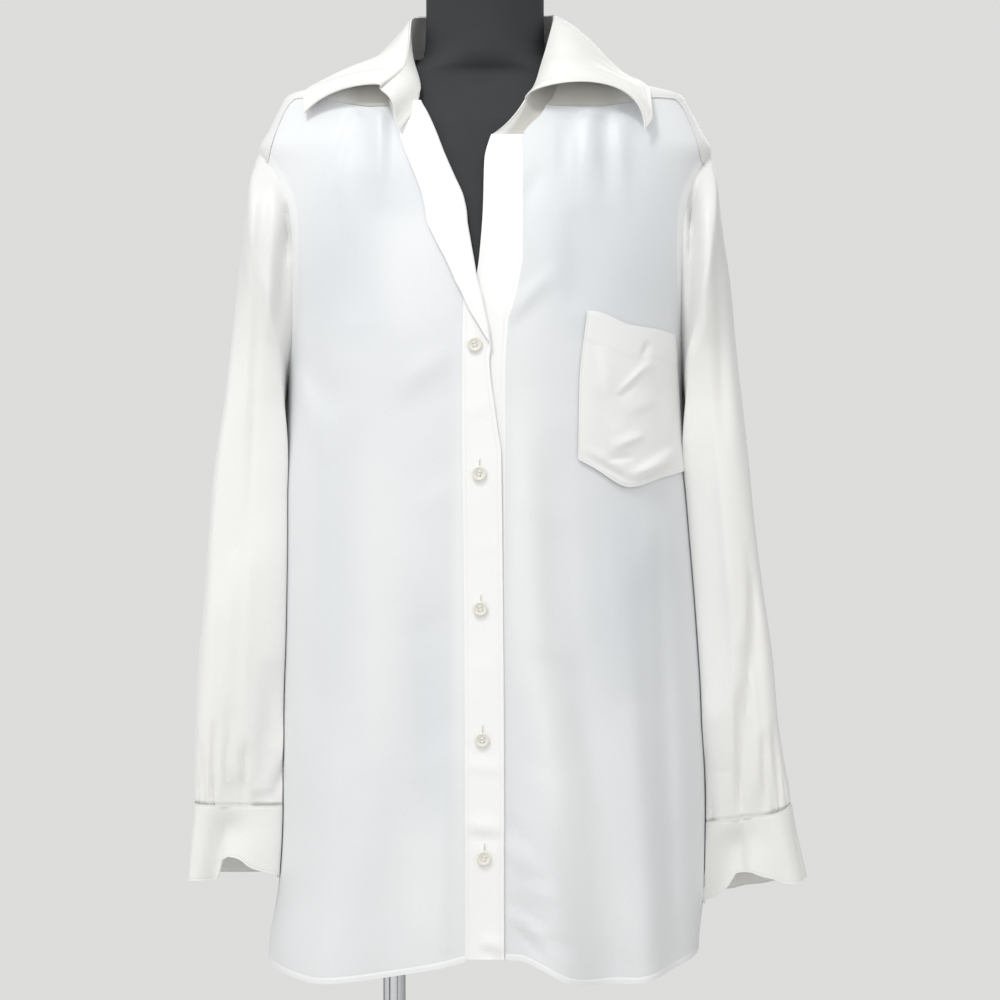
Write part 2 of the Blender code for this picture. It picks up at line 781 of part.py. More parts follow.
def yoke(front_right, front_left, back):
    """The yoke: over both shoulders and across the back, from the front seams to the back seam."""
    angles = armhole_angles(FRONT_SEAM_STEP, -BACK_SEAM_STEP)
    neck = neckline(NECK_COLUMNS)
    away = neck - NECK_MIDDLE
    away[:, 2] = 0.0
    away /= np.linalg.norm(away, axis=1, keepdims=True)
    neck = on_blouse(neck + away * NECK_GAP)[1:-1]
    left_seam = above_seam(front_left[-1, ::-1])
    right_seam = above_seam(front_right[-1])
    first = np.concatenate([left_seam, neck, right_seam])
    for end, near in ((0, 1), (-1, -2)):
        first[end] += towards(first[end], first[near]) * 2.0 * YOKE_END_GAP
    side_count = len(left_seam) - 1
    back_end = np.abs(back[-1, 0, 0])
    out_to_corner = np.linspace(back_end, YOKE_CORNER_BACK_X, side_count + 1)[1:]
    share = np.linspace(1.0, -1.0, len(neck) + 2)[1:-1]
    across = YOKE_CORNER_BACK_X * np.sign(share) * (1.0 - (1.0 - np.abs(share)) ** 1.6)
    last_x = np.concatenate([out_to_corner, across, -out_to_corner[::-1]])
    last_z = np.interp(last_x, back[-1, :, 0], back[-1, :, 2]) + YOKE_SEAM_GAP
    last = np.stack([last_x, back_y(last_x, last_z), last_z], axis=-1)
    rows = [first]
    for row, angle in enumerate(angles[1:], 1):
        part = row / (len(angles) - 1.0)
        outward = 1.0 - (1.0 - part) ** 1.5
        line = first[1:-1] + (last - first[1:-1]) * np.array([outward, part, part])
        if row < len(angles) - 1:
            line = over_shoulder(line)
        ends = [armhole(side, np.array([angle])) for side in (1.0, -1.0)]
        ends = [end + towards(end, near) * YOKE_END_GAP for end, near in zip(ends, (line[0], line[-1]))]
        rows.append(np.concatenate([ends[0], line, ends[1]]))
    face = np.array(rows)
    return cloth_wall("yoke", face, face - blouse_normals(face) * PANEL_CLOTH, SILK)


def placket_left():
    """The under placket: it lies just behind the right one and shows above the first button."""
    part = np.linspace(0.0, 1.0, 4)
    low = along(HEM, "across", "front", 0.0)
    heights = np.concatenate([np.linspace(low, 1.15, 12), np.linspace(1.18, LEFT_PLACKET_TOP, 12)])
    rows = []
    for z in heights:
        free = along(LEFT_FREE_EDGE, "height", "across", z)
        seam = along(LEFT_EDGE, "height", "across", z) - PLACKET_SEAM_GAP
        x = free + (seam - free) * part
        sink = PLACKET_OVERLAP_LIFT * (1.0 - part) * (1.0 - ease((z - 1.25) / 0.05))
        floor = np.where(x > 0.0, along(HEM, "across", "front", x) - low, 0.0)
        drop = floor * (1.0 - ease((z - low) / 0.03))
        rows.append(np.stack([x, front_y(x, z + drop) + sink, z + drop], axis=-1))
    return thickened("placket_left", np.array(rows), BAND_CLOTH, SILK_DOUBLED)


def strip_place(root, z, run, lift):
    """Points at a run along a row from the placket's root and a lift off the blouse's surface."""
    x = root + run
    step = 0.5 * MM
    slope = (front_y(x + step, z) - front_y(x - step, z)) / (2.0 * step)
    normal = np.stack([slope, -np.ones_like(slope), np.zeros_like(slope)], axis=-1)
    normal /= np.linalg.norm(normal, axis=-1, keepdims=True)
    return np.stack([x, front_y(x, z), np.broadcast_to(z, x.shape)], axis=-1) + normal * lift[..., None]


def rolled_row(fold, width):
    """One cross-section of the right placket: flat up to its fold, then rolled back over itself."""
    radius = LAPEL_ROLL_RADIUS
    turn_length = math.pi * radius
    near = min(fold, width - turn_length - LAPEL_EDGE)
    flat = np.linspace(0.0, near, 3)
    bend = near + np.linspace(0.0, 1.0, 6)[1:] * turn_length
    rest = np.linspace(bend[-1], width, 4)[1:]
    length = np.concatenate([flat, bend, rest])
    angle = np.clip((length - fold) / radius, 0.0, math.pi)
    past = np.clip(length - fold - turn_length, 0.0, None)
    run = np.minimum(length, fold) + radius * np.sin(angle) - past
    lift = radius * (1.0 - np.cos(angle))
    settle = np.clip(past / (20.0 * MM), 0.0, 1.0) * 0.8 * MM
    return run, lift - settle, angle


def placket_right():
    """The upper placket: over the left one to the first button, then rolled back as a narrow lapel."""
    low = along(HEM, "across", "front", 0.0)
    heights = np.concatenate([
        np.linspace(low, 1.09, 9),
        np.linspace(1.104, 1.170, 6),
        np.linspace(1.185, 1.222, 6),
        np.linspace(1.238, RIGHT_PLACKET_TOP, 10),
    ])
    outer = []
    inner = []
    for z in heights:
        root = along(RIGHT_EDGE, "height", "across", z) + PLACKET_SEAM_GAP
        fold = along(RIGHT_FOLD, "height", "run", z)
        run, lift, angle = rolled_row(fold, along(RIGHT_FOLD, "height", "width", z))
        overlap = 1.0 - ease((z - 1.25) / 0.05)
        lean = PLACKET_OVERLAP_LIFT * np.clip(np.minimum(run, fold) / PLACKET_WIDTH, 0.0, 1.0)
        lift = lift + lean * (0.25 + 0.75 * overlap) - BAND_CLOTH / 2.0
        half = BAND_CLOTH / 2.0
        outer.append(strip_place(root, z, run - np.sin(angle) * half, lift + np.cos(angle) * half))
        inner.append(strip_place(root, z, run + np.sin(angle) * half, lift - np.cos(angle) * half))
    return cloth_wall("placket_right", np.array(outer), np.array(inner), SILK_DOUBLED)


def collar_stand():
    """The collar's stand: up from the neck seam, over its crest, to the leaf's seam."""
    places = STAND_COLUMNS
    seam = neckline(places)
    crest = stations(STAND_SECTIONS, "crest", places)
    top = stations(STAND_SECTIONS, "top", places)
    rows = []
    for part in np.linspace(STAND_START, 0.99, 5):
        start = (1.0 - part) * (1.0 - 2.0 * part)
        middle = 4.0 * part * (1.0 - part)
        end = part * (2.0 * part - 1.0)
        rows.append(seam * start + crest * middle + top * end)
    return thickened("collar_stand", np.array(rows), BAND_CLOTH, SILK_DOUBLED)


def collar_leaf():
    """The collar's leaf: from the stand's top out and down to its long edge and two points."""
    places = STAND_COLUMNS
    lines = [stations(STAND_SECTIONS, "top", places)]
    lines += [stations(LEAF_SECTIONS, name, places) for name in ("near", "far", "edge")]
    rows = []
    for part in np.linspace(LEAF_START, 1.0, 8):
        row = 0.0
        for index, line in enumerate(lines):
            weight = 1.0
            for other in range(4):
                if other != index:
                    weight *= (3.0 * part - other) / (index - other)
            row = row + line * weight
        rows.append(row)
    return thickened("collar_leaf", np.array(rows), BAND_CLOTH, SILK_DOUBLED)


def ring(side, outer_x, outer_z, inner_x, inner_z, front, back):
    """One section of a sleeve or cuff, from its outer end round the front to its inner end."""
    turn = np.arange(RING_STEPS) * 2.0 * math.pi / RING_STEPS
    swing = np.sign(np.cos(turn)) * np.abs(np.cos(turn)) ** 0.85
    reach = np.abs(np.sin(turn)) ** 0.92
    x = (outer_x + inner_x) / 2.0 + (outer_x - inner_x) / 2.0 * swing
    z = (outer_z + inner_z) / 2.0 + (outer_z - inner_z) / 2.0 * np.cos(turn)
    y = np.where(np.sin(turn) > 0, -front * reach, back * reach)
    return np.stack([side * x, y, z], axis=-1)


def tube_rows(side, sections, first, count):
    """Rings of a tube, evenly taken along its sections."""
    rings = [] if first is None else [first]
    rings += [ring(side, *values) for values in zip(*sections.values())]
    rings = np.array(rings)
    index = np.arange(len(rings), dtype=float)
    places = np.linspace(0.0, index[-1], count)
    taken = np.empty((count, RING_STEPS, 3))
    for column in range(RING_STEPS):
        for axis in range(3):
            taken[:, column, axis] = smooth_curve(places, index, rings[:, column, axis])
    return taken


def angle_gap(turn, place):
    return np.abs((turn - place + 180.0) % 360.0 - 180.0)


def push_out(rings, amount):
    middle = rings.mean(axis=1, keepdims=True)
    away = rings - middle
    away[..., 2] = 0.0
    away /= np.linalg.norm(away, axis=-1, keepdims=True)
    return rings + away * amount[..., None]


def creased_sleeve(side, sections, creases):
    turn = np.arange(RING_STEPS) * 360.0 / RING_STEPS
    first = armhole(side, turn)
    first[:, 0] += side * SEAM_GAP / 2.0
    rings = tube_rows(side, sections, first, SLEEVE_ROWS)
    z = rings[..., 2]
    amount = np.zeros(z.shape)
    for crease in creases:
        run = (crease["top"] - z) / (crease["top"] - crease["low"])
        strength = ease(run * 3.0) * ease((1.0 - run) * 3.0)
        spread = np.exp(-((angle_gap(turn, crease["angle"]) / crease["width"]) ** 2))
        amount += crease["depth"] * MM * strength * spread[None, :]
    end_z = rings[-1, :, 2]
    near = np.clip(1.0 - (z - end_z[None, :]) / CUFF_GATHER_REACH, 0.0, 1.0)
    for place in CUFF_GATHERS:
        spread = np.exp(-((angle_gap(turn, place) / CUFF_GATHER_HALF_ANGLE) ** 2))
        amount -= CUFF_GATHER_DEPTH * ease(near * 1.6) * spread[None, :]
    amount[0] = 0.0
    return push_out(rings, amount)


def tube_wall(name, side, rings, cloth, look):
    if side > 0:
        rings = rings[:, ::-1]
    return thickened(name, rings[::-1], cloth, look, closed=True)


def sleeve(name, side, sections, creases):
    return tube_wall(name, side, creased_sleeve(side, sections, creases), PANEL_CLOTH, SILK)


def cuff(name, side, sections, hollow, rise):
    """A cuff, pressed in on its face and turned up at its lower edge beside that hollow."""
    rings = tube_rows(side, sections, None, CUFF_ROWS)
    turn = np.arange(RING_STEPS) * 360.0 / RING_STEPS
    down = np.linspace(0.0, 1.0, CUFF_ROWS)[:, None]
    gap = angle_gap(turn[None, :], hollow["angle"] + hollow["drift"] * down)
    strength = 0.45 + 0.55 * ease(down * 2.0)
    rings = push_out(rings, hollow["depth"] * MM * strength * np.exp(-((gap / hollow["width"]) ** 2)))
    rings[..., 2] += along(rise, "angle", "rise", turn * MM)[None, :] * down ** CUFF_RISE_POWER
    return tube_wall(name, side, rings, BAND_CLOTH, SILK_DOUBLED)


def pocket():
    """The chest pocket: lifted off the left front's own surface, sagging a little at its foot."""
    across = np.linspace(0.0, 1.0, 9)
    rise = np.linspace(0.0, 1.0, 7)
    share = across[None, :]
    up = rise[:, None]
    left = along(POCKET_SIDES, "share", "left", up)
    right = along(POCKET_SIDES, "share", "right", up)
    top = along(POCKET_ENDS, "share", "top", share)
    bottom = along(POCKET_ENDS, "share", "bottom", share)
    x = left + (right - left) * share
    z = bottom + (top - bottom) * up
    sag = POCKET_SAG * np.sin(np.pi * share) ** 0.8 * np.sin(np.pi * up ** 0.7) ** 0.8
    place = np.stack([x, front_y(x, z), z], axis=-1)
    normals = surface_normals(place)
    back_face = place + normals * (POCKET_LIFT + sag * 0.6)[..., None]
    face = back_face + normals * PANEL_CLOTH
    return cloth_wall("pocket", face, back_face, SILK_DOUBLED)


def turned(name, profile, steps, look):
    """A solid of revolution from (radius, height) pairs that start and end on its axis."""
    bm = bmesh.new()
    verts = [bm.verts.new((radius, 0.0, height)) for radius, height in profile]
    edges = [bm.edges.new(pair) for pair in zip(verts, verts[1:])]
    bmesh.ops.spin(
        bm,
        geom=verts + edges,
        cent=(0.0, 0.0, 0.0),
        axis=(0.0, 0.0, 1.0),
        angle=2.0 * math.pi,
        steps=steps,
        use_merge=True,
    )
    made = finish(name, bm, look)
    made.data.set_sharp_from_angle(angle=math.radians(40.0))
    return made


def button(name):
    rim = 0.8 * MM
    thick = BUTTON_THICKNESS
    profile = (
        (0.0, 0.0),
        (BUTTON_RADIUS - rim, 0.0),
        (BUTTON_RADIUS, rim),
        (BUTTON_RADIUS, thick - rim),
        (BUTTON_RADIUS - rim, thick),
        (BUTTON_RADIUS - 2.2 * rim, thick - 0.5 * rim),
        (0.0, thick - 0.5 * rim),
    )
    return turned(name, profile, 14, PEARL)


def front_buttons():
    for number, (x, z) in enumerate(zip(*FRONT_BUTTONS.values()), start=1):
        made = button(f"button_{number}")
        root = along(RIGHT_EDGE, "height", "across", z)
        lean = PLACKET_OVERLAP_LIFT * (x - root + BUTTON_RADIUS * 0.5) / PLACKET_WIDTH
        made.location = (x, float(front_y(x, z)) - lean - 0.7 * MM, z)
        made.rotation_euler = (math.radians(90.0), 0.0, 0.0)


def cuff_buttons():
    """One button on each cuff, at the back where its ends overlap."""
    cuffs = (("cuff_button_right", -1.0, RIGHT_CUFF), ("cuff_button_left", 1.0, LEFT_CUFF))
    for name, side, sections in cuffs:
        middle = {key: values[1:3].mean() for key, values in sections.items()}
        x = side * (middle["outer_x"] + middle["inner_x"]) / 2.0
        z = (middle["outer_z"] + middle["inner_z"]) / 2.0
        made = button(name)
        made.location = (x, middle["back"] + 0.7 * MM, z)
        made.rotation_euler = (math.radians(-90.0), 0.0, 0.0)


def form_ring(half, front, back, roundness):
    turn = np.arange(FORM_STEPS) * 2.0 * math.pi / FORM_STEPS
    power = 2.0 / (SECTION_POWER + (2.0 - SECTION_POWER) * roundness)
    x = half * np.sign(np.sin(turn)) * np.abs(np.sin(turn)) ** power
    depth = np.where(np.cos(turn) > 0, front, back)
    y = -depth * np.sign(np.cos(turn)) * np.abs(np.cos(turn)) ** power
    return x, y


def form_body():
    """The covered form: hips, waist, bust, shoulders with flat armhole sides, and a plain neck."""
    rings = []
    for z in FORM_HEIGHTS:
        if z <= FORM["height"][-1]:
            half = along(FORM, "height", "half", z)
            front = along(FORM, "height", "front", z)
            back = along(FORM, "height", "back", z)
        else:
            high = z + FORM_DROP
            half = min(along(BLOUSE, "height", "right", high) - FORM_SIDE_EASE, FORM["half"][-1])
            throat = FORM_THROAT_EASE * ease((z - FORM["height"][-1]) / FORM_THROAT_RISE)
            front = along(BLOUSE, "height", "front", high) - FORM_EASE - throat
            back = along(BLOUSE, "height", "back", high) - FORM_EASE - throat
        if z >= FORM_NECK["height"][0]:
            radius = along(FORM_NECK, "height", "radius", z)
            middle = along(FORM_NECK, "height", "middle", z)
            half = radius
            front = radius - middle
            back = radius + middle
        x, y = form_ring(half, front, back, float(z >= FORM_NECK["height"][0]))
        rings.append(np.stack([x, y, np.full_like(x, z)], axis=-1))
    rings = np.array(rings)
    bm = bmesh.new()
    columns = FORM_STEPS
    bmesh.ops.create_grid(bm, x_segments=columns, y_segments=len(rings) - 1, size=0.5)
    closed = np.concatenate([rings, rings[:, :1]], axis=1).reshape(-1, 3)
    for vert, place in zip(bm.verts, closed):
        vert.co = place
    bmesh.ops.remove_doubles(bm, verts=bm.verts, dist=1e-6)
    bmesh.ops.holes_fill(bm, edges=[edge for edge in bm.edges if edge.is_boundary], sides=0)
    return finish("form_body", bm, FORM_COVER)


def stand():
    """A round base, a hub on it, the pole, and the plate under the form."""
    edge = 3.0 * MM
    base = (
        (0.0, 0.0),
        (BASE_RADIUS, 0.0),
        (BASE_RADIUS, BASE_THICKNESS - edge),
        (BASE_RADIUS - edge, BASE_THICKNESS),
        (0.0, BASE_THICKNESS),
    )
    turned("stand_base", base, 48, CHROME)
    hub_low = BASE_THICKNESS + 0.3 * MM
    hub_top = hub_low + 0.035
    hub = ((0.0, hub_low), (0.030, hub_low), (0.026, hub_low + 0.008), (0.015, hub_top), (0.0, hub_top))
    pole_low = hub_top + 0.3 * MM
    plate_top = FORM["height"][0] - 0.3 * MM
    plate_low = plate_top - 0.014
    pole_top = plate_low - 0.3 * MM
    pole = ((0.0, pole_low), (POLE_RADIUS, pole_low), (POLE_RADIUS, pole_top), (0.0, pole_top))
    plate = (
        (0.0, plate_low),
        (0.018, plate_low),
        (0.036, plate_top - 0.004),
        (0.036, plate_top),
        (0.0, plate_top),
    )
    for name, profile in (("stand_hub", hub), ("stand_pole", pole), ("form_plate", plate)):
        made = turned(name, profile, 24, CHROME)
        made.location = (POLE_X, 0.0, 0.0)


def build():
    for old in list(bpy.data.objects):
        bpy.data.objects.remove(old)
    right_face = front_face(-1.0)
    left_face = front_face(1.0)
    rear_face = back_face()
    front_panel("front_right", -1.0, right_face)
    front_panel("front_left", 1.0, left_face)
    back_panel(rear_face)
    yoke(right_face, left_face, rear_face)
    placket_left()
    placket_right()
    collar_stand()
    collar_leaf()
    sleeve("sleeve_right", -1.0, RIGHT_SLEEVE, RIGHT_SLEEVE_CREASES)
    sleeve("sleeve_left", 1.0, LEFT_SLEEVE, LEFT_SLEEVE_CREASES)
    cuff("cuff_right", -1.0, RIGHT_CUFF, RIGHT_CUFF_HOLLOW, RIGHT_CUFF_RISE)
    cuff("cuff_left", 1.0, LEFT_CUFF, LEFT_CUFF_HOLLOW, LEFT_CUFF_RISE)
    pocket()
    front_buttons()
    cuff_buttons()
    form_body()
    stand()


build()
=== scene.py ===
"""The looks of a silk blouse on a limbless dress form with its stand.

Metres, +Z up. The blouse faces -Y; the wearer's right is at -X. The tables are in millimetres.
"""

import math

import bmesh
import bpy
import numpy as np
from mathutils import Matrix, Vector


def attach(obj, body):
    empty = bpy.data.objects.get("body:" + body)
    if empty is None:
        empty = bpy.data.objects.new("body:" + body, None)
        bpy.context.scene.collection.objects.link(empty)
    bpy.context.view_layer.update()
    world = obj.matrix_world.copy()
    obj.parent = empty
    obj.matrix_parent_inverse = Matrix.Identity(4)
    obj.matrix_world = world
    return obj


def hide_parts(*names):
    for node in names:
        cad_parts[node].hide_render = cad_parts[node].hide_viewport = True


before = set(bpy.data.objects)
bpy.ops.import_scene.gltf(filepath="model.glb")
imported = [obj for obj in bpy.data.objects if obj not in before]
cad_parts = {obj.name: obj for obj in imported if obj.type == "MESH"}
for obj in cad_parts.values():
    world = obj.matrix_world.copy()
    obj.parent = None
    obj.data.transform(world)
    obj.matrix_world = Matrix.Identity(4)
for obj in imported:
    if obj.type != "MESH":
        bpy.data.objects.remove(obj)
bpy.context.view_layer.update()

MM = 0.001
PANEL_CLOTH = 1.2 * MM
SINGLE_SILK = 0.5 * MM
DOUBLED_SILK = 1.0 * MM
POCKET_SILK = 0.8 * MM
BAND_CLOTH = 1.0 * MM
MERGE_DISTANCE = 0.001 * MM

SECTION_POWER = 2.3
FORM_DROP = 2.5 * MM
FORM_EASE = 4.0 * MM
FORM_SIDE_EASE = 1.0 * MM
FORM_THROAT_EASE = 8.0 * MM
FORM_THROAT_RISE = 40.0 * MM

SEAM_STEP = 360.0 / 28.0
FRONT_SEAM_ANGLE = 2.0 * SEAM_STEP
BACK_SEAM_ANGLE = 360.0 - 4.0 * SEAM_STEP
ARMHOLE_TOP = 1.356
ARMHOLE_BOTTOM = 1.160
ARMHOLE_SHOULDER_X = 0.192
ARMHOLE_UNDERARM_X = 0.1665
ARMHOLE_FRONT_X = {-1.0: 0.1590, 1.0: 0.1640}
ARMHOLE_BACK_X = 0.160

PLACKET_WIDTH = 31.0 * MM
PLACKET_OVERLAP_LIFT = 2.2 * MM
LAPEL_ROLL_RADIUS = 1.7 * MM
LAPEL_EDGE = 1.7 * MM

POLE_X = -0.077
POLE_RADIUS = 0.0095
BASE_RADIUS = 0.170
BASE_THICKNESS = 0.012


def table(columns, *rows):
    """The named columns of a table in millimetres, as arrays in metres."""
    values = np.array(rows, dtype=float) * MM
    return {name: values[:, index] for index, name in enumerate(columns.split())}


# Horizontal sections of the blouse: half-widths to each side, and depths to the front and back.
BLOUSE = table(
    "height right left front back",
    (600, 186, 182, 152, 133),
    (684, 183, 181, 150, 130),
    (740, 174.5, 186, 148, 127),
    (808, 171, 187, 146, 123),
    (890, 171, 185, 142, 118),
    (960, 171, 181, 139, 114),
    (1060, 171, 173.5, 136, 110),
    (1160, 166.5, 167, 134, 107),
    (1200, 168, 168, 131, 106),
    (1256, 175, 175, 122, 105),
    (1300, 182, 181, 110, 103),
    (1340, 189, 188, 96.5, 98),
    (1356, 192, 192, 90, 95),
    (1375, 183, 183, 81, 90),
    (1394, 174, 173, 70.5, 83),
    (1404, 168, 167, 65, 78.5),
    (1413, 133, 132, 60, 74),
    (1425, 100, 100, 55.5, 69),
    (1439, 66, 66, 51, 64.5),
    (1453, 46, 46, 46, 61),
    (1470, 20, 20, 20, 30),
)

# The form: its own sections below the chest, and the blouse's, let down a little, above it.
FORM = table(
    "height half front back",
    (752, 140, 98, 92),
    (770, 152, 108, 100),
    (830, 160, 117, 108),
    (920, 147, 110, 99),
    (1020, 117, 93, 80),
    (1110, 136, 112, 90),
    (1160, 148, 124.5, 97),
    (1200, 152, 127.5, 100),
    (1256, 156, 118.5, 100),
    (1300, 160, 106.5, 98),
    (1340, 160, 90.5, 92),
    (1370, 160, 76.5, 84.5),
)
FORM_NECK = table(
    "height radius middle",
    (1424, 57, 5),
    (1432, 53.5, 4),
    (1445, 51, 4.5),
    (1475, 50, 5),
    (1535, 50.5, 6),
)

# Soft ridges (+) and troughs (-) of the hanging cloth, which grow from their top to the hem.
FRONT_FOLDS = table(
    "top_x top_z low_x low_z width depth",
    (-112, 1080, -128, 660, 17, 7.5),
    (-66, 1000, -72, 660, 20, -9.8),
    (-38, 960, -36, 660, 13, 4.5),
    (34, 1120, 64, 660, 15, 9.0),
    (58, 1100, 104, 660, 15, -11.2),
    (112, 1080, 136, 660, 13, 8.2),
    (138, 1160, 156, 660, 9, -6.8),
)
BACK_FOLDS = table(
    "top_x top_z low_x low_z width depth",
    (-118, 1200, -132, 660, 16, 8.4),
    (-84, 1230, -98, 660, 15, -9.8),
    (-38, 1290, -46, 660, 17, 9.8),
    (0, 1330, 2, 660, 15, -10.5),
    (40, 1290, 52, 660, 17, 9.8),
    (88, 1230, 96, 660, 15, -9.1),
    (122, 1200, 138, 660, 14, 7.7),
)
# Short gathers below the yoke's front seam.
YOKE_GATHERS = table(
    "top_x top_z low_x low_z width depth",
    (-101, 1386, -112, 1290, 6, -4.0),
    (-88, 1388, -92, 1270, 6, 4.2),
    (-76, 1388, -80, 1300, 5, -3.2),
    (74, 1388, 76, 1290, 6, -3.2),
    (86, 1387, 88, 1270, 6, 3.8),
    (99, 1384, 104, 1290, 6, -3.2),
    (112, 1382, 120, 1290, 7, 3.0),
)

HEM = table(
    "across front back",
    (-190, 677, 677),
    (-166, 674, 671),
    (-143, 672, 668),
    (-112, 675, 668),
    (-71, 681, 669),
    (-35, 690, 670),
    (0, 697, 670),
    (28, 696, 670),
    (45, 689, 669),
    (73, 676, 669),
    (93, 673, 668),
    (120, 672.5, 669),
    (152, 678, 672),
    (172, 683, 679),
    (190, 688, 688),
)

# The seam between the yoke and each front: its height at a distance from the middle.
YOKE_FRONT_SEAM = table(
    "across height",
    (50, 1388.5),
    (62, 1388),
    (90, 1388),
    (120, 1393),
    (145, 1399),
    (158, 1399.5),
    (166, 1393),
    (171, 1383),
    (176, 1369),
    (181.8, 1346.3),
)
YOKE_BACK_SEAM = table(
    "across height",
    (0, 1352),
    (60, 1350),
    (120, 1341),
    (150, 1330),
    (167.8, 1319.1),
)

# Inner edge of each front: the placket's seam, then the edge that rolls back or runs up to the neck.
RIGHT_EDGE = table(
    "height across",
    (600, -14.5),
    (860, -14.8),
    (1014, -15.8),
    (1110, -17),
    (1150, -17.2),
    (1196, -16.8),
    (1226, -16.2),
    (1240, -17.2),
    (1256, -17.8),
    (1272, -17.2),
    (1292, -16.6),
    (1307, -19),
    (1325, -26.5),
    (1345, -35),
    (1365, -42.5),
    (1380, -49),
    (1390, -54.5),
)
LEFT_EDGE = table(
    "height across",
    (600, 16.5),
    (1158, 16.8),
    (1204, 19),
    (1230, 26),
    (1259, 30.5),
    (1339, 31),
    (1356, 30),
    (1361, 31),
    (1366, 34),
    (1372, 39.5),
    (1380, 47),
    (1390, 52),
)
LEFT_PLACKET_TOP = 1.3615
LEFT_FREE_EDGE = table(
    "height across",
    (600, -14),
    (1158, -14),
    (1204, -12.5),
    (1230, -8.5),
    (1241, -6.5),
    (1259, -4),
    (1300, -1),
    (1339, 0),
    (1360, 5),
    (1366, 8),
)
# The right placket's own width, and how far along it the placket runs before it rolls back.
RIGHT_FOLD = table(
    "height width run",
    (600, 31, 31),
    (1100, 31, 31),
    (1112, 29.3, 29.3),
    (1126, 27.4, 27.4),
    (1142, 25.2, 25.2),
    (1160, 22.8, 22.8),
    (1176, 21.6, 21.6),
    (1187, 24.5, 20.8),
    (1196, 28, 19.6),
    (1206, 30, 17.6),
    (1214, 31, 15.6),
    (1226, 31.5, 13),
    (1240, 32, 10.2),
    (1256, 34, 8),
    (1272, 36, 4.6),
    (1292, 37.5, 1.2),
    (1306, 37.5, 1),
    (1325, 36, 1),
    (1345, 35.5, 1),
    (1375, 33.5, 1),
    (1393, 30.5, 1),
)
RIGHT_PLACKET_TOP = 1.391

# Collar sections from the left front end, round the back, to the right front end:
# the stand from the neck seam over its crest to the leaf's seam, then the leaf to its outer edge.
STAND_SECTIONS = table(
    "seam_x seam_y seam_z crest_x crest_y crest_z top_x top_y top_z",
    (6, -89, 1362, 21, -87, 1373, 34, -79, 1391),
    (30, -85, 1360, 38, -77, 1382, 42, -68, 1405),
    (50, -74, 1380, 50, -60, 1402, 48, -50, 1426),
    (60, -56, 1402, 57, -42, 1424, 54, -30, 1449),
    (66, -24, 1431, 62, -14, 1451, 59, -4, 1472),
    (62, 20, 1442, 58, 24, 1461, 55, 26, 1478),
    (38, 50, 1450, 36, 52, 1466, 34, 55, 1482),
    (0, 62, 1453, 0, 65, 1469, 0, 68, 1484),
    (-38, 50, 1450, -36, 52, 1466, -34, 55, 1482),
    (-62, 20, 1442, -60, 24, 1461, -57, 26, 1477),
    (-66, -20, 1433, -64, -16, 1452, -63, -6, 1469),
    (-60, -52, 1407, -60, -41, 1428, -64, -32, 1446),
    (-54, -67, 1393, -55, -58, 1409, -66, -56, 1424),
    (-69, -90, 1365.5, -75.5, -89, 1384, -86.5, -76, 1402),
)
LEAF_SECTIONS = table(
    "near_x near_y near_z far_x far_y far_z edge_x edge_y edge_z",
    (58, -84, 1402.5, 106, -77, 1401.5, 131, -79, 1366),
    (68, -77, 1413, 106, -70, 1408.5, 138, -69, 1379.5),
    (76, -61, 1424, 108, -51, 1414, 137.5, -50, 1402),
    (80.5, -36, 1442, 104.5, -27, 1427, 128, -24, 1415.5),
    (83, -6, 1455, 102.5, -3, 1435.5, 121, 2, 1420),
    (76.5, 36, 1459, 92.5, 44, 1437, 112.5, 54, 1413.5),
    (48, 67, 1462, 60, 77, 1434, 72, 86, 1404),
    (0, 82, 1463, 0, 88, 1434, 0, 93, 1402),
    (-48, 67, 1462, -60, 77, 1434, -72, 86, 1404),
    (-79, 36, 1457, -98, 44, 1434.5, -118, 54, 1412.5),
    (-85, -4, 1442, -106, -2, 1429, -131, 4, 1417.5),
    (-84, -34, 1433, -111, -27, 1425, -142, -20, 1412.5),
    (-86, -58, 1417, -115, -48, 1413, -151, -38, 1400.5),
    (-94, -77, 1404, -120, -68, 1400, -149, -57, 1383),
)

# Sleeve sections below the armhole: the outer and inner ends, then the front and back depths.
SLEEVE_COLUMNS = "outer_x outer_z inner_x inner_z front back"
RIGHT_SLEEVE = table(
    SLEEVE_COLUMNS,
    (197, 1338, 168.5, 1153, 75, 78),
    (202, 1310, 170, 1145, 72, 80),
    (206, 1272, 172, 1134, 67, 80),
    (212, 1220, 174, 1118, 62, 79),
    (220, 1150, 176, 1085, 58, 76),
    (231, 1060, 176.5, 1025, 56, 71),
    (239, 960, 175, 950, 53, 65),
    (244.5, 885, 174, 880, 49, 58),
    (246, 845, 174, 843, 45, 53),
    (246, 820, 174, 820, 41, 48),
    (245.5, 808.2, 174.5, 807.2, 38.5, 45),
)
LEFT_SLEEVE = table(
    SLEEVE_COLUMNS,
    (195, 1338, 168.5, 1153, 75, 78),
    (199, 1304, 170.5, 1145, 72, 80),
    (204, 1264, 173, 1134, 67, 80),
    (209, 1210, 175, 1118, 62, 79),
    (217.5, 1130, 178, 1080, 58, 76),
    (230, 1025, 182, 1010, 56, 71),
    (242, 935, 186.5, 920, 53, 65),
    (249, 870, 189.5, 858, 49, 58),
    (254, 838, 190, 824, 45, 53),
    (257.5, 819, 190, 802, 41, 48),
    (258.5, 807.3, 190, 790.2, 38.5, 45),
)
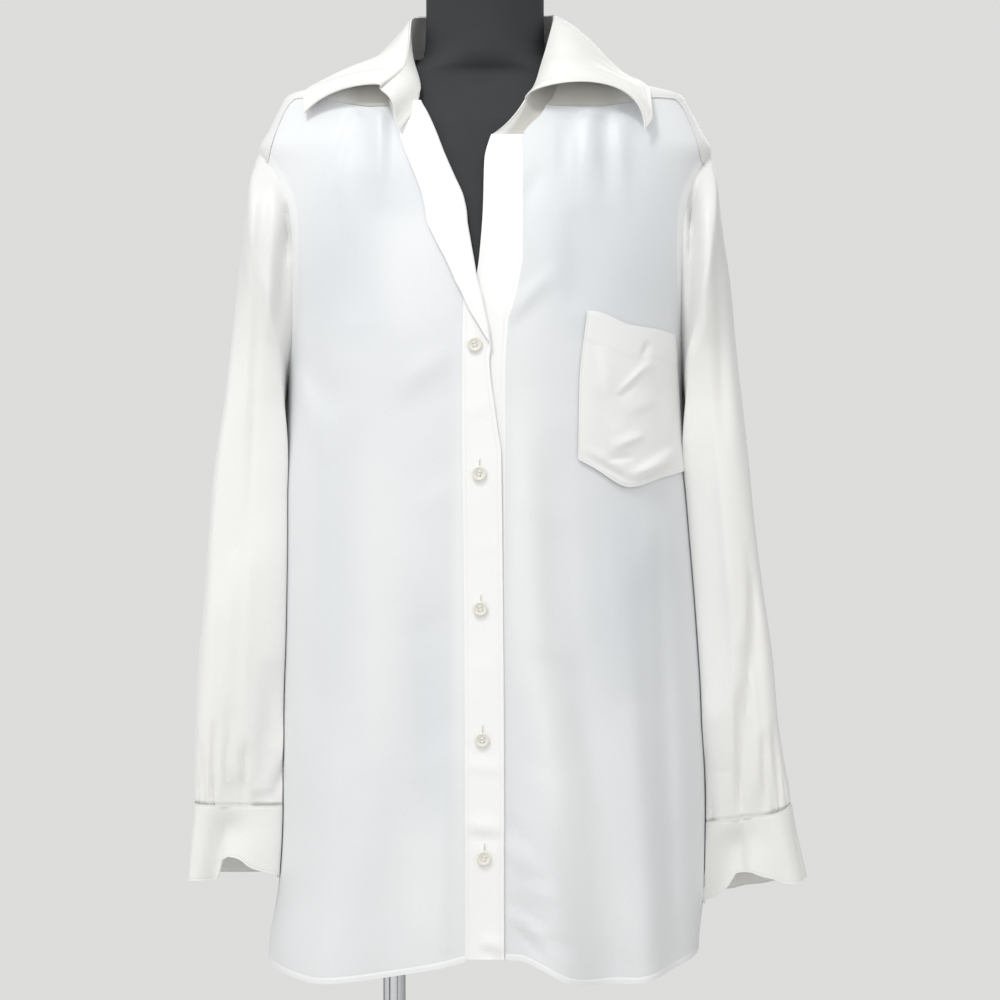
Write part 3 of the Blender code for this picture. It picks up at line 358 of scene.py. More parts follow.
# Creases of each sleeve's front: where each starts and ends, its width and its depth.
CREASE_COLUMNS = "start_x start_z end_x end_z width depth"
RIGHT_SLEEVE_FRONT = table(
    CREASE_COLUMNS,
    (-163.5, 1352, -163, 1258, 3, -7.5),
    (-166, 1290, -171, 1200, 3.5, -3.0),
    (-172, 1335, -178, 1190, 5, 2.4),
    (-185, 1316, -196, 1010, 4, -2.0),
    (-197, 1280, -225, 975, 6, -2.2),
    (-185, 1140, -200, 850, 8, 2.4),
    (-210, 1020, -216, 880, 5, 1.8),
    (-176.5, 950, -185, 855, 4, -2.0),
    (-188, 930, -190, 822, 2.2, -2.6),
    (-177, 872, -188, 810, 2.2, -2.6),
    (-199.5, 862, -204, 806, 1.8, -2.2),
    (-213, 888, -217, 806, 2, -2.0),
    (-226, 880, -228.5, 806, 2, -2.0),
    (-238, 860, -239, 806, 2, -1.6),
)
LEFT_SLEEVE_FRONT = table(
    CREASE_COLUMNS,
    (170.5, 1356, 171.5, 1262, 3, -6.5),
    (171, 1280, 170, 1186, 3, -4.0),
    (179, 1325, 183, 1190, 5, 2.4),
    (191, 1300, 199, 1110, 5, -2.4),
    (187, 1145, 209, 935, 7, 2.6),
    (183, 1110, 190, 880, 5, -2.4),
    (219, 1030, 231, 868, 4, -2.6),
    (223, 1000, 214, 815, 3, -3.0),
    (206, 960, 201, 836, 4, 2.2),
    (210, 905, 212.5, 800, 2.4, -2.8),
    (240, 880, 246.5, 802, 2.2, -2.6),
    (199, 880, 197, 796, 2.2, -2.4),
    (231, 870, 234, 800, 2, -2.2),
)
# Long creases of each sleeve's back: place round it (degrees, 0 outside, 90 front), how far that place
# drifts on the way down, the heights of its ends, its half-width in degrees and its depth.
RIGHT_SLEEVE_CREASES = (
    (20, -8, 1.31, 1.10, 13, -2.4),
    (250, 6, 1.30, 0.84, 20, 6.0),
    (285, -6, 1.22, 0.84, 16, -6.0),
    (222, 8, 1.18, 0.82, 11, -3.2),
    (318, 5, 1.10, 0.82, 12, 2.8),
    (265, -4, 1.00, 0.80, 7, -2.6),
)
LEFT_SLEEVE_CREASES = (
    (24, -6, 1.30, 1.06, 12, 2.2),
    (245, 5, 1.30, 0.84, 20, 6.0),
    (290, -6, 1.22, 0.84, 16, -6.0),
    (218, 6, 1.16, 0.82, 11, -3.0),
    (322, -6, 1.12, 0.82, 12, 2.8),
    (268, 4, 0.98, 0.80, 7, -2.4),
)

# Cuff sections from the sleeve's seam down.
RIGHT_CUFF = table(
    SLEEVE_COLUMNS,
    (246.5, 807.5, 174, 806.5, 40, 46),
    (247.5, 788, 175.5, 787, 40.5, 46.5),
    (249.5, 765, 177.2, 766, 42, 47.5),
    (251.5, 743.5, 179, 744.5, 43, 48.5),
)
LEFT_CUFF = table(
    SLEEVE_COLUMNS,
    (259.5, 806.5, 189, 789, 40, 46),
    (262.5, 788, 190, 769, 40.5, 46.5),
    (267.5, 765, 191.5, 745, 42, 47.5),
    (272.5, 744.5, 193, 722, 43, 48.5),
)
# Hollows (-) and ridges (+) round each cuff: place, drift and half-width in degrees, depth in
# millimetres, and the share of it at the cuff's top.
RIGHT_CUFF_HOLLOWS = (
    (88, -10, 15, -12.0, 0.35),
    (118, -4, 14, 2.4, 0.6),
    (44, -6, 14, 1.8, 0.5),
    (262, 5, 20, -3.2, 0.5),
)
LEFT_CUFF_HOLLOWS = (
    (98, 20, 15, -13.0, 0.35),
    (68, -4, 14, 2.4, 0.6),
    (26, 3, 13, -1.8, 0.4),
    (255, -5, 20, -3.0, 0.5),
)

# How far each cuff's lower edge turns up at places round it. The places are in degrees.
RIGHT_CUFF_RISE = table(
    "angle rise",
    (0, 0),
    (76, 0),
    (82, 2),
    (89, 20),
    (96, 18.5),
    (115, 7.5),
    (150, 1),
    (180, 0),
    (220, -4),
    (320, -4),
    (360, 0),
)
LEFT_CUFF_RISE = table(
    "angle rise",
    (0, 0),
    (40, 1),
    (71, 5),
    (89, 13.5),
    (96, 19),
    (110, 21),
    (117, 3),
    (124, 0),
    (180, 0),
    (220, -4),
    (320, -4),
    (360, 0),
)

# The pocket's ends and sides. Shares of its width and length are in thousandths.
POCKET_ENDS = table(
    "share top bottom",
    (0, 1214.5, 1095),
    (140, 1213.5, 1088),
    (470, 1204.5, 1072.5),
    (800, 1202, 1081),
    (1000, 1199, 1086),
)
POCKET_SIDES = table(
    "share left right",
    (0, 75, 164),
    (500, 76, 160.5),
    (1000, 82.5, 155.5),
)
POCKET_LIFT = 1.0 * MM
POCKET_SAG = 3.2 * MM

BUTTON_RADIUS = 6.0 * MM
BUTTON_THICKNESS = 2.2 * MM
FRONT_BUTTONS = table(
    "across height",
    (-7.5, 1187),
    (-4, 1083.5),
    (-3, 975.5),
    (-1.5, 871),
    (0, 777.5),
)
BUTTONHOLE_LENGTH = 14.0 * MM
BUTTONHOLE_RISE = 5.5 * MM

# Single creases of the hanging cloth: where each starts and ends, its width and its depth.
FRONT_CREASES = table(
    CREASE_COLUMNS,
    (46.5, 1336, 29.5, 1298, 5, -1.6),
    (62, 1252, 18, 1208, 6, 2.2),
    (58, 1240, 20, 1196, 5, -1.6),
    (72, 1300, 78, 1212, 13, -4.0),
    (-97, 1330, -104, 1205, 14, -3.4),
    (-120, 1352, -108, 1270, 7, 1.8),
    (-22, 1186, -72, 1152, 8, 1.3),
    (-20, 1175, -78, 1122, 9, -1.2),
    (-18, 1080, -60, 1052, 8, 1.0),
    (-17, 972, -70, 950, 9, -0.9),
    (-16, 868, -62, 836, 9, 1.0),
    (22, 1068, 66, 1036, 8, 1.0),
    (22, 962, 78, 928, 9, 1.1),
    (21, 860, 70, 838, 8, -0.9),
    (17, 812, 38, 780, 3, -2.0),
    (17, 790, 44, 760, 3.5, 2.2),
    (18, 744, 52, 720, 3, -2.4),
    (19, 736, 50, 708, 3.5, 2.4),
    (26, 726, 46, 696, 2.5, -2.0),
    (30, 756, 60, 742, 3, 1.8),
    (44, 716, 74, 700, 3, -1.6),
    (-160, 1190, -120, 1130, 9, -2.4),
    (-158, 1172, -128, 1090, 8, 1.8),
    (150, 1180, 168, 1090, 8, -2.2),
    (148, 1062, 120, 985, 12, 1.8),
    (-150, 1010, -120, 900, 13, 1.8),
    (-96, 830, -110, 700, 9, 1.8),
    (30, 820, 22, 716, 7, 1.4),
    (128, 920, 150, 800, 10, -2.0),
    (84, 1386, 80, 1300, 5, 1.3),
    (118, 1376, 124, 1290, 6, -1.4),
    (-106, 1392, -128, 1322, 3.5, -2.4),
    (-92, 1394, -98, 1330, 4, -2.2),
    (-84, 1394, -86, 1300, 4, 2.0),
    (64, 1392, 62, 1322, 3.5, -1.5),
    (74, 1394, 72, 1310, 3.5, 1.2),
    (96, 1396, 100, 1306, 4, -1.5),
    (108, 1396, 114, 1330, 4, 1.1),
    (-146, 1292, -138, 1130, 7, -2.2),
    (-128, 1150, -134, 905, 8, 2.4),
    (-104, 1130, -112, 850, 9, -2.2),
    (-46, 1000, -56, 780, 12, -2.6),
    (-30, 880, -34, 700, 8, 2.4),
    (30, 1150, 34, 900, 10, 2.6),
    (52, 1120, 60, 900, 10, -2.6),
    (40, 930, 100, 690, 12, 3.0),
    (66, 940, 124, 700, 10, -3.0),
    (124, 1040, 140, 800, 12, -1.8),
    (104, 1060, 110, 900, 10, 2.0),
)
# Where the cloth lies near the dark form (+) or hangs off it (-); some darker patches are painted shade as
# well.
# A patch's ends, its half-width and its strength in thousandths.
BODY_TINT_AND_PAINTED_SHADE_PATCHES = table(
    CREASE_COLUMNS,
    (-124, 1340, -118, 1180, 24, 300),
    (-78, 1300, -60, 1190, 18, -200),
    # These two are partly form tint and partly painted shade over the upper chest.
    (-92, 1388, -92, 1290, 34, 260),
    (98, 1388, 88, 1185, 34, 440),
    (116, 1100, 108, 895, 34, 320),
    (132, 950, 146, 725, 24, 160),
    # Painted shadow of the collar's leaf along the top of the left front.
    (48, 1385, 122, 1384, 6, 700),
    (-128, 1190, -124, 850, 15, 160),
    (-52, 1000, -42, 790, 18, 200),
    (-92, 1160, -86, 810, 14, -160),
    (25, 1240, 32, 890, 12, -260),
    (34, 960, 98, 680, 15, -220),
    (-62, 810, -40, 690, 20, -160),
    (-21, 1215, -20, 680, 5, -300),
)
BACK_CREASES = table(
    CREASE_COLUMNS,
    (-60, 1300, -34, 1180, 12, 1.8),
    (70, 1310, 44, 1170, 12, 1.6),
    (-140, 1190, -92, 1120, 10, -2.0),
    (142, 1186, 96, 1110, 10, -2.2),
    (-20, 1120, -66, 1010, 14, 1.6),
    (24, 1090, 78, 1000, 14, -1.6),
    (-104, 980, -66, 860, 13, 1.6),
    (60, 940, 20, 800, 13, 1.6),
    (130, 900, 110, 760, 10, -1.8),
    (-140, 860, -124, 730, 10, -1.8),
    (0, 780, 30, 700, 9, 1.4),
    (-40, 1345, -44, 1270, 5, 1.6),
    (-28, 1345, -24, 1262, 5, -1.8),
    (30, 1345, 26, 1264, 5, -1.8),
    (44, 1345, 50, 1276, 5, 1.6),
)
PLACKET_CREASES = table(
    CREASE_COLUMNS,
    (-17, 850, 17, 846, 3, 1.2),
    (-17, 804, 17, 799, 3.5, 1.6),
    (-15, 792, 15, 790, 2.5, -1.4),
    (-4, 712, 17, 704, 3, 1.8),
    (-6, 704, 16, 696, 2.5, -1.4),
    (-15, 1020, 12, 1026, 4, 0.4),
    (-16, 930, 14, 924, 4, 0.4),
    (-18, 1130, 8, 1138, 4, 0.5),
)
POCKET_CREASES = table(
    CREASE_COLUMNS,
    (136, 1178, 106, 1147, 3.2, 2.4),
    (131, 1170, 106, 1144, 2.2, -2.2),
    (132, 1192, 126, 1178, 2, -1.8),
    (101, 1104, 128, 1115, 2.6, 2.2),
    (96, 1094, 120, 1097, 2.2, -2.0),
    (160, 1106, 116, 1080, 4.5, 3.4),
    (158, 1096, 122, 1075, 2.4, -2.4),
    (92, 1190, 100, 1146, 4, 1.6),
    (146, 1150, 152, 1098, 5, 1.6),
    (88, 1150, 104, 1120, 4, -1.2),
    (73, 1100.5, 118, 1076, 1.5, -1.6),
    (115, 1076, 163, 1090, 1.5, -1.6),
    (76, 1106, 118, 1082, 2.2, 1.3),
    (115, 1082, 162, 1096, 2.2, 1.3),
    (110, 1132, 140, 1146, 5, 1.2),
)
# Soft waves of the collar's leaf: place along it, lean, half-width and depth.
LEAF_CREASES = (
    (0.5, 1.2, 0.22, 1.4),
    (1.1, 0.9, 0.30, -1.8),
    (1.9, 0.8, 0.26, 1.8),
    (2.6, 1.1, 0.24, -1.4),
    (3.9, 0.8, 0.50, 1.2),
    (6.2, 1.0, 0.50, -1.0),
    (8.3, 0.9, 0.45, 1.2),
    (9.8, 1.1, 0.24, -1.6),
    (10.6, 0.8, 0.26, 1.8),
    (11.4, 1.0, 0.24, -2.0),
    (12.1, 0.8, 0.22, 1.6),
    (12.7, 1.0, 0.16, -1.2),
)

# The cloth's small forms.
CLOTH_CORNER = math.radians(60.0)
HARD_CORNER = math.radians(40.0)
UNEVENNESS = 0.28 * MM
YOKE_UNEVENNESS = 0.25 * MM
SLEEVE_UNEVENNESS = 0.45 * MM
CUFF_UNEVENNESS = 0.25 * MM
BACK_UNEVEN_START = 0.21
SIDE_FADE = 9.0
CREASE_LEAN = 1.9
SEAM_REACH_POWER = 2.2
HEM_PASSES = 3
HEM_DEPTH = 5.0 * MM
HEM_ROLL = 0.5 * MM
DOUBLED_EDGE = 1.5 * MM
FELLED_WIDTH = 9.0 * MM
NECK_CORNER = 53.8 * MM
PARTING_HEIGHT = 1.25
PARTING_RUN = 0.05
LEFT_SEAM_GAP = 0.6 * MM
RIGHT_SEAM_GAP = 0.4 * MM
ROLL_HEIGHTS = (1.18, 1.24)
LAPEL_SETTLE = 0.8 * MM
LAPEL_SETTLE_RUN = 20.0 * MM

YOKE_LAP = 1.0 * MM
YOKE_LIFT = 0.55 * MM
YOKE_SMOOTHINGS = 25
YOKE_END_COLUMNS = 8
YOKE_CORNER_BACK_X = 0.135
CHEST_HEIGHT = 1.30
SHOULDER_HEIGHTS = (1.28, 1.47)
HALVINGS = 40

STAND_LAP_PLACE = 12.0
STAND_CRUMPLE = 2.2 * MM

SLEEVE_FULLNESS = 0.70
SLEEVE_GAP = 0.9 * MM
SLEEVE_TUCK = 2.5 * MM
SLEEVE_PUFF = 0.9 * MM
SLEEVE_PINCH = 1.4 * MM
SLEEVE_CAP_ROWS = 10.0
SLEEVE_CREASE_GAIN = 2.1
SET_IN_ROWS = 14.0
UNDERARM_RISE = 0.07
UNDERARM_RUN = 0.15
# The gathers above a cuff: limits of the first one's place and of the step to the next, in degrees,
# of how far up each reaches, of its depth in millimetres, its width in degrees and its lean.
GATHER_START = (0.0, 9.0)
GATHER_STEP = (7.0, 22.0)
GATHER_REACH = (0.015, 0.085)
GATHER_DEPTH = (1.0, 2.9)
GATHER_WIDTH = (1.7, 3.2)
GATHER_LEAN = (-30.0, 30.0)
CUFF_FULLNESS = 0.60
CUFF_RISE_POWER = 1.5

POCKET_BAND = 0.80
POCKET_BAND_LIFT = 0.4 * MM

# How dark the form makes the cloth in front of it, and where shade is painted into the cloth: the yoke and
# stand under the collar's leaves, and the sleeves towards their heads.
BODY_SHADE = 0.45
BODY_SHADE_NEAR = 0.15
PATCH_GAIN = 1.5
FORM_FAR = 0.06
FORM_SHADE_REACH = 0.022
FORM_SHADE_FOOT = 0.735
# Painted shadow of the collar's leaves on the yoke: how far out and how far forward it reaches.
COLLAR_PAINTED_SHADOW_SIDE = 0.122
COLLAR_PAINTED_SHADOW_FRONT = 0.015
# Painted shade on the stand's front end under the leaf: where along the collar it starts and ends.
STAND_PAINTED_SHADE_ENDS = (0.25, 3.2)
# Painted shade darkening the sleeves towards their heads: the height where it starts and how far up it grows.
SLEEVE_PAINTED_SHADE_FOOT = 1.14
SLEEVE_PAINTED_SHADE_RISE = 0.20

# The form's neck, the stand and the buttons.
NECK_BLEND_LOW = 4.0 * MM
NECK_BLEND_RISE = 12.0 * MM
BASE_EDGE = 3.0 * MM
STAND_GAP = 0.3 * MM
PLATE_THICKNESS = 14.0 * MM
BUTTON_RIM = 1.1 * MM
BUTTON_HOLE_OUT = 1.3 * MM
BUTTON_STAND_OFF = 0.7 * MM
HOLED_BUTTONS = ("button_2", "button_3", "button_4", "button_5")

# Rows and columns of the grids.
FRONT_COLUMNS = 73
BACK_COLUMNS = 121
RIM_ROWS = 47
HEM_RISES = np.array([0.0, 1.2, 2.4, 3.6, 4.5, 5.2, 6.0, 7.2, 9.0, 11.5]) * MM
BODY_SHARES = np.concatenate([HEM_RISES / 0.48, np.linspace(0.031, 1.0, 84, endpoint=False)])
BODY_ROWS = len(BODY_SHARES)
YOKE_ROWS = 60
LEFT_PLACKET_ROWS = 170
LEFT_PLACKET_COLUMNS = 14
FLAT_ROWS = 130
ROLL_ROWS = 30
LAPEL_ROWS = 50
FLAT_COLUMNS = 12
BEND_COLUMNS = 11
ROLLED_COLUMNS = 10
STAND_ROWS = 18
LEAF_ROWS = 44
SLEEVE_ROWS = 170
CUFF_ROWS = 30
POCKET_ROWS = 84
POCKET_COLUMNS = 64
ROUND_ANGLES = np.arange(0.0, 360.0, 3.0)
FORM_STEPS = 96
NECK_PLACES = np.linspace(2.4, 12.55, 92)
COLLAR_PLACES = np.linspace(0.0, 13.0, 131)
FORM_HEIGHTS = np.concatenate([
    np.linspace(0.752, 1.370, 34),
    np.linspace(1.376, 1.424, 13),
    np.linspace(1.428, 1.535, 12),
])

# Each kind of cloth piece: its wall, look, slot, how it is held, its stitched borders, and its
# flat cut in metres: width, length and area.
CLOTH = {
    "front_right": (SINGLE_SILK, "body", "silk", "draped", "low", 0.27, 0.72, 0.165),
    "front_left": (SINGLE_SILK, "body", "silk", "draped", "low", 0.27, 0.72, 0.165),
    "back": (SINGLE_SILK, "body", "silk", "draped", "low", 0.50, 0.70, 0.315),
    "yoke": (SINGLE_SILK, "yoke", "silk", "draped", "low top", 0.46, 0.24, 0.070),
    "placket_left": (DOUBLED_SILK, "placket", "silk_doubled", "draped", "first last", 0.032, 0.67, None),
    "placket_right": (DOUBLED_SILK, "placket", "silk_doubled", "folded", "first last", 0.042, 0.70, 0.0235),
    "collar_stand": (DOUBLED_SILK, "collar", "silk_doubled", "folded", "low", 0.40, 0.036, None),
    "collar_leaf": (DOUBLED_SILK, "collar", "silk_doubled", "folded", "top first last", 0.62, 0.085, 0.040),
    "sleeve": (SINGLE_SILK, "sleeve", "silk", "hung", "", 0.44, 0.54, 0.185),
    "cuff": (DOUBLED_SILK, "cuff", "silk_doubled", "folded", "low top", 0.28, 0.068, None),
    "pocket": (POCKET_SILK, "pocket", "silk_doubled", "laid", "low first last", 0.11, 0.15, 0.0150),
}

# Each silk: its name, its colour free, its colour over the form and in painted shade, its roughness, and its
# stitches' distance.
SILKS = {
    # The body's second colour is the form's tint, and painted shade where its patches say so.
    "body": ("silk, single", (0.885, 0.895, 0.90), (0.715, 0.745, 0.775), 0.42, 5.0),
    # The yoke's second colour is mostly painted shadow under the collar's leaves, with a faint share of it
    # all over.
    "yoke": ("silk, yoke", (0.87, 0.875, 0.87), (0.57, 0.56, 0.52), 0.42, 2.0),
    # The sleeves' second colour is painted shade, darkening them towards their heads.
    "sleeve": ("silk, sleeves", (0.90, 0.90, 0.885), (0.76, 0.765, 0.755), 0.42, 5.0),
    "placket": ("silk, plackets", (0.95, 0.95, 0.945), (0.90, 0.90, 0.88), 0.40, 3.0),
    # The collar's second colour is painted shade, used on the stand's front end under the leaf.
    "collar": ("silk, collar", (0.84, 0.84, 0.82), (0.57, 0.56, 0.52), 0.40, 5.0),
    "cuff": ("silk, cuffs", (0.87, 0.87, 0.85), (0.90, 0.90, 0.88), 0.40, 1.5),
    "pocket": ("silk, pocket", (0.90, 0.905, 0.895), (0.90, 0.90, 0.88), 0.40, 2.0),
}
# The stitches' colour: darker than the thread itself, as painted shade in the stitch holes.
STITCH_PAINTED_SHADE_COLOUR = (0.70, 0.70, 0.68, 1.0)

# Lights: name, place, size and power. The room's doors: where across, and how wide by half.
LIGHTS = (
    ("key", (-0.7, -1.4, 3.4), 0.6, 25.0),
    ("rear", (0.6, 2.4, 2.2), 1.6, 10.0),
)
LIGHTS_AIM = Vector((0.0, 0.0, 1.05))
BACKDROP = (0.722, 0.720, 0.715)
ROOM_COLOUR = (1.0, 0.998, 0.99)
ROOM_BRIGHT_SIDE = (-0.40, -0.78, 0.50)
ROOM_LEVELS = (0.39, 1.03)
ROOM_DOORS = ((-0.72, 0.10), (0.52, 0.07))
DOOR_HEIGHT = 0.22
DOOR_DARKNESS = 0.85
FLOOR_COLOUR = (0.70, 0.69, 0.675, 1.0)
FLOOR_RADIUS = 3.0
FLOOR_DROP = 0.5 * MM
CAMERA_PLACE = (0.01275, -2.3, 1.06225)
LENS = 97.4


def smooth_curve(place, places, values):
    """A smooth curve without overshoot through values at rising places, level beyond its ends."""
    place = np.clip(place, places[0], places[-1])
    steps = np.diff(places)
    slopes = np.diff(values) / steps
    tangents = np.zeros_like(values)
    tangents[0] = slopes[0]
    tangents[-1] = slopes[-1]
    product = slopes[:-1] * slopes[1:]
    total = np.where(product > 0, slopes[:-1] + slopes[1:], 1.0)
    tangents[1:-1] = np.where(product > 0, 2.0 * product / total, 0.0)
    low = np.clip(np.searchsorted(places, place, side="right") - 1, 0, len(steps) - 1)
    part = (place - places[low]) / steps[low]
    rise = ease(part)
    leave = part * (1.0 - part) ** 2 * steps[low] * tangents[low]
    arrive = part * part * (part - 1.0) * steps[low] * tangents[low + 1]
    return values[low] * (1.0 - rise) + values[low + 1] * rise + leave + arrive


def along(curve, column, place):
    """One column of a table, at places of its first column."""
    return smooth_curve(place, next(iter(curve.values())), curve[column])


def ease(value):
    """A smooth step from 0 to 1."""
    value = np.clip(value, 0.0, 1.0)
    return value * value * (3.0 - 2.0 * value)


def unit(vectors):
    return vectors / np.linalg.norm(vectors, axis=-1, keepdims=True)


def angle_gap(turn, place):
    """Degrees from a place to a turn, the short way round."""
    return (turn - place + 180.0) % 360.0 - 180.0


def half_width(x, z):
    """The blouse's half-width at a height, on the side where a point lies."""
    return np.where(x < 0, along(BLOUSE, "right", z), along(BLOUSE, "left", z))


def depth_column(table, y, z):
    """A table's depth on the side where a point lies."""
    return np.where(y < 0, along(table, "front", z), along(table, "back", z))


def side_share(x, z):
    """How far out to the side a place lies, from 0 in the middle to 1."""
    return np.clip(np.abs(x) / half_width(x, z), 0.0, 1.0)


def bulge(share):
    """How deep a section is, as a share, at a share of its half-width."""
    return (1.0 - share ** SECTION_POWER) ** (1.0 / SECTION_POWER)


def section_angle(x, z):
    """How far round its section a point lies, as an angle from the middle to the side."""
    return np.arcsin(side_share(x, z) ** (SECTION_POWER / 2.0))


def hanging(run):
    """A fold's strength and spread, both growing on its way down."""
    return ease(run), 0.6 + 0.7 * run


def gathered(run):
    """A gather's strength and spread: deepest just below its seam."""
    return (1.0 - run) ** 1.5 * ease(run * 12.0), 1.0 + run


def fold_height(folds, x, z, form):
    """Height of the soft ridges and troughs of a table at a place on the cloth."""
    height = np.zeros(np.broadcast(x, z).shape)
    for top_x, top_z, low_x, low_z, width, depth in zip(*folds.values()):
        run = np.clip((top_z - z) / (top_z - low_z), 0.0, 1.0)
        middle = top_x + (low_x - top_x) * run
        strength, spread = form(run)
        height += depth * strength * np.exp(-((x - middle) / (width * spread)) ** 2)
    return height


def crease_height(creases, x, z):
    """Soft single creases: each runs between two places, fades at both ends and leans to one side."""
    height = np.zeros(np.broadcast(x, z).shape)
    for start_x, start_z, end_x, end_z, width, depth in zip(*creases.values()):
        length = math.hypot(end_x - start_x, end_z - start_z)
        way_x = (end_x - start_x) / length
        way_z = (end_z - start_z) / length
        run = ((x - start_x) * way_x + (z - start_z) * way_z) / length
        aside = (x - start_x) * way_z - (z - start_z) * way_x
        strength = np.sin(np.pi * np.clip(run, 0.0, 1.0)) ** 0.8
        spread = np.where(aside > 0, width, width * CREASE_LEAN)
        height += depth * strength * np.exp(-((aside / spread) ** 2))
    return height


def uneven(along_x, along_z, size):
    """A faint unevenness that no hanging cloth is without."""
    wave = np.sin(along_x * 61.0 + along_z * 17.0 + 0.4) * 0.5
    wave = wave + np.sin(along_x * 23.0 - along_z * 41.0 + 1.7)
    wave = wave + np.sin(along_x * 103.0 + along_z * 37.0 + 2.9) * 0.35
    wave = wave + np.sin(along_z * 83.0 - along_x * 67.0 + 0.9) * 0.3
    return wave * size


def body_depth(column, x, z, folds):
    """How far the blouse's front or back lies out, with its folds, which fade towards the sides."""
    share = side_share(x, z)
    return along(BLOUSE, column, z) * bulge(share) + ease((1.0 - share) * SIDE_FADE) * folds


def front_y(x, z):
    """Depth of the blouse's front at a width and a height."""
    folds = fold_height(FRONT_FOLDS, x, z, hanging) + fold_height(YOKE_GATHERS, x, z, gathered)
    folds = folds + crease_height(FRONT_CREASES, x, z) + uneven(x, z, UNEVENNESS)
    return -body_depth("front", x, z, folds)


def back_y(x, z):
    """Depth of the blouse's back at a width and a height."""
    folds = fold_height(BACK_FOLDS, x, z, hanging) + crease_height(BACK_CREASES, x, z)
    return body_depth("back", x, z, folds + uneven(x + BACK_UNEVEN_START, z, UNEVENNESS))


def armhole(side, angle):
    """Points of the armhole seam: 0 at the shoulder, 180 degrees at the underarm, 90 in front."""
    turn = np.radians(angle)
    middle_z = (ARMHOLE_TOP + ARMHOLE_BOTTOM) / 2.0
    z = middle_z + (ARMHOLE_TOP - ARMHOLE_BOTTOM) / 2.0 * np.cos(turn)
    waist = np.where(np.sin(turn) > 0, ARMHOLE_FRONT_X[side], ARMHOLE_BACK_X)
    end = np.where(np.cos(turn) > 0, ARMHOLE_SHOULDER_X, ARMHOLE_UNDERARM_X)
    x = side * (waist + (end - waist) * np.abs(np.cos(turn)) ** 3.0)
    y = np.where(np.sin(turn) > 0, front_y(x, z), back_y(x, z))
    y = np.where(np.abs(np.sin(turn)) < 1e-6, 0.0, y)
    return np.stack([x, y, z], axis=-1)


def surface_normals(points):
    """Unit normals of a grid of points, from its neighbours' differences."""
    return unit(np.cross(np.gradient(points, axis=1), np.gradient(points, axis=0)))


def panel(part, row, hem, seam, seam_start, rim):
    """A panel's widths and heights, and how far its hem rolls out.

    Its rows run up from the hem, then from the middle to the armhole, and end along the yoke's seam.
    """
    widths = []
    heights = []
    for share in BODY_SHARES:
        z = np.full(len(part), ARMHOLE_BOTTOM)
        for _ in range(HEM_PASSES):
            x = row(z, math.pi / 2.0)
            low = along(HEM, hem, x)
            z = low + (ARMHOLE_BOTTOM - low) * share
        widths.append(x)
        heights.append(z)
    for place, low_z in zip(rim, np.linspace(ARMHOLE_BOTTOM, along(seam, "height", seam_start), RIM_ROWS)):
        z = low_z + (place[2] - low_z) * np.abs(part)
        widths.append(row(z, section_angle(place[0], place[2])))
        heights.append(z)
    x = np.array(widths)
    z = np.array(heights)
    reach = np.clip((np.arange(len(x)) - BODY_ROWS) / (RIM_ROWS - 1.0), 0.0, 1.0) ** SEAM_REACH_POWER
    z += reach[:, None] * (along(seam, "height", np.abs(x[-1])) - z[-1])[None, :]
    return x, z, HEM_ROLL * ease((along(HEM, hem, x) + HEM_DEPTH - z) / DOUBLED_EDGE)


def front_face(side):
    """One front: up from the hem to the yoke's seam, out from the placket to side and armhole."""
    edge = RIGHT_EDGE if side < 0 else LEFT_EDGE
    rim = armhole(side, np.linspace(180.0, FRONT_SEAM_ANGLE, RIM_ROWS))
    part = np.linspace(0.0, 1.0, FRONT_COLUMNS)

    def row(z, end):
        inner_x = along(edge, "across", z[0])
        start = section_angle(inner_x, z[0])
        turn = start + (end - start) * part
        x = side * half_width(np.full_like(z, side), z) * np.sin(turn) ** (2.0 / SECTION_POWER)
        x[0] = inner_x
        return x

    x, z, roll = panel(part, row, "front", YOKE_FRONT_SEAM, NECK_CORNER, rim)
    face = np.stack([x, front_y(x, z) - roll, z], axis=-1)
    face[BODY_ROWS:, -1] = rim
    face[:BODY_ROWS + 1, -1, 1] = 0.0
    return face if side > 0 else face[:, ::-1]


def back_face():
    """The back, from one side seam and armhole to the other."""
    angles = np.linspace(180.0, BACK_SEAM_ANGLE, RIM_ROWS)
    rims = {side: armhole(side, angles) for side in (-1.0, 1.0)}
    part = np.linspace(-1.0, 1.0, BACK_COLUMNS)

    def row(z, end):
        return np.sign(part) * half_width(part, z) * np.sin(end * np.abs(part)) ** (2.0 / SECTION_POWER)

    x, z, roll = panel(part, row, "back", YOKE_BACK_SEAM, 0.0, rims[1.0])
    face = np.stack([x, back_y(x, z) + roll, z], axis=-1)
    for side, column in ((-1.0, 0), (1.0, -1)):
        face[BODY_ROWS:, column] = rims[side]
        face[:BODY_ROWS + 1, column, 1] = 0.0
    return face[:, ::-1]


def section_size(points):
    """How far out points lie: 1 on the blouse's plain surface, less inside it."""
    x, y, z = np.moveaxis(points, -1, 0)
    across = (np.abs(x) / half_width(x, z)) ** SECTION_POWER
    return across + (np.abs(y) / depth_column(BLOUSE, y, z)) ** SECTION_POWER


def last_inside(low, high, place):
    """The largest value between two arrays for which a place is still inside the blouse."""
    for _ in range(HALVINGS):
        middle = (low + high) / 2.0
        inside = section_size(place(middle)) < 1.0
        low = np.where(inside, middle, low)
        high = np.where(inside, high, middle)
    return low


def on_blouse(points):
    """Points moved along rays from inside the chest onto the blouse's own surface."""
    start = points * np.array([0.75, 0.0, 0.0]) + np.array([0.0, 0.0, CHEST_HEIGHT])
    ray = points - start
    shape = points.shape[:-1]
    reach = last_inside(np.full(shape, 0.3), np.full(shape, 2.2), lambda part: start + ray * part[..., None])
    return start + ray * reach[..., None]


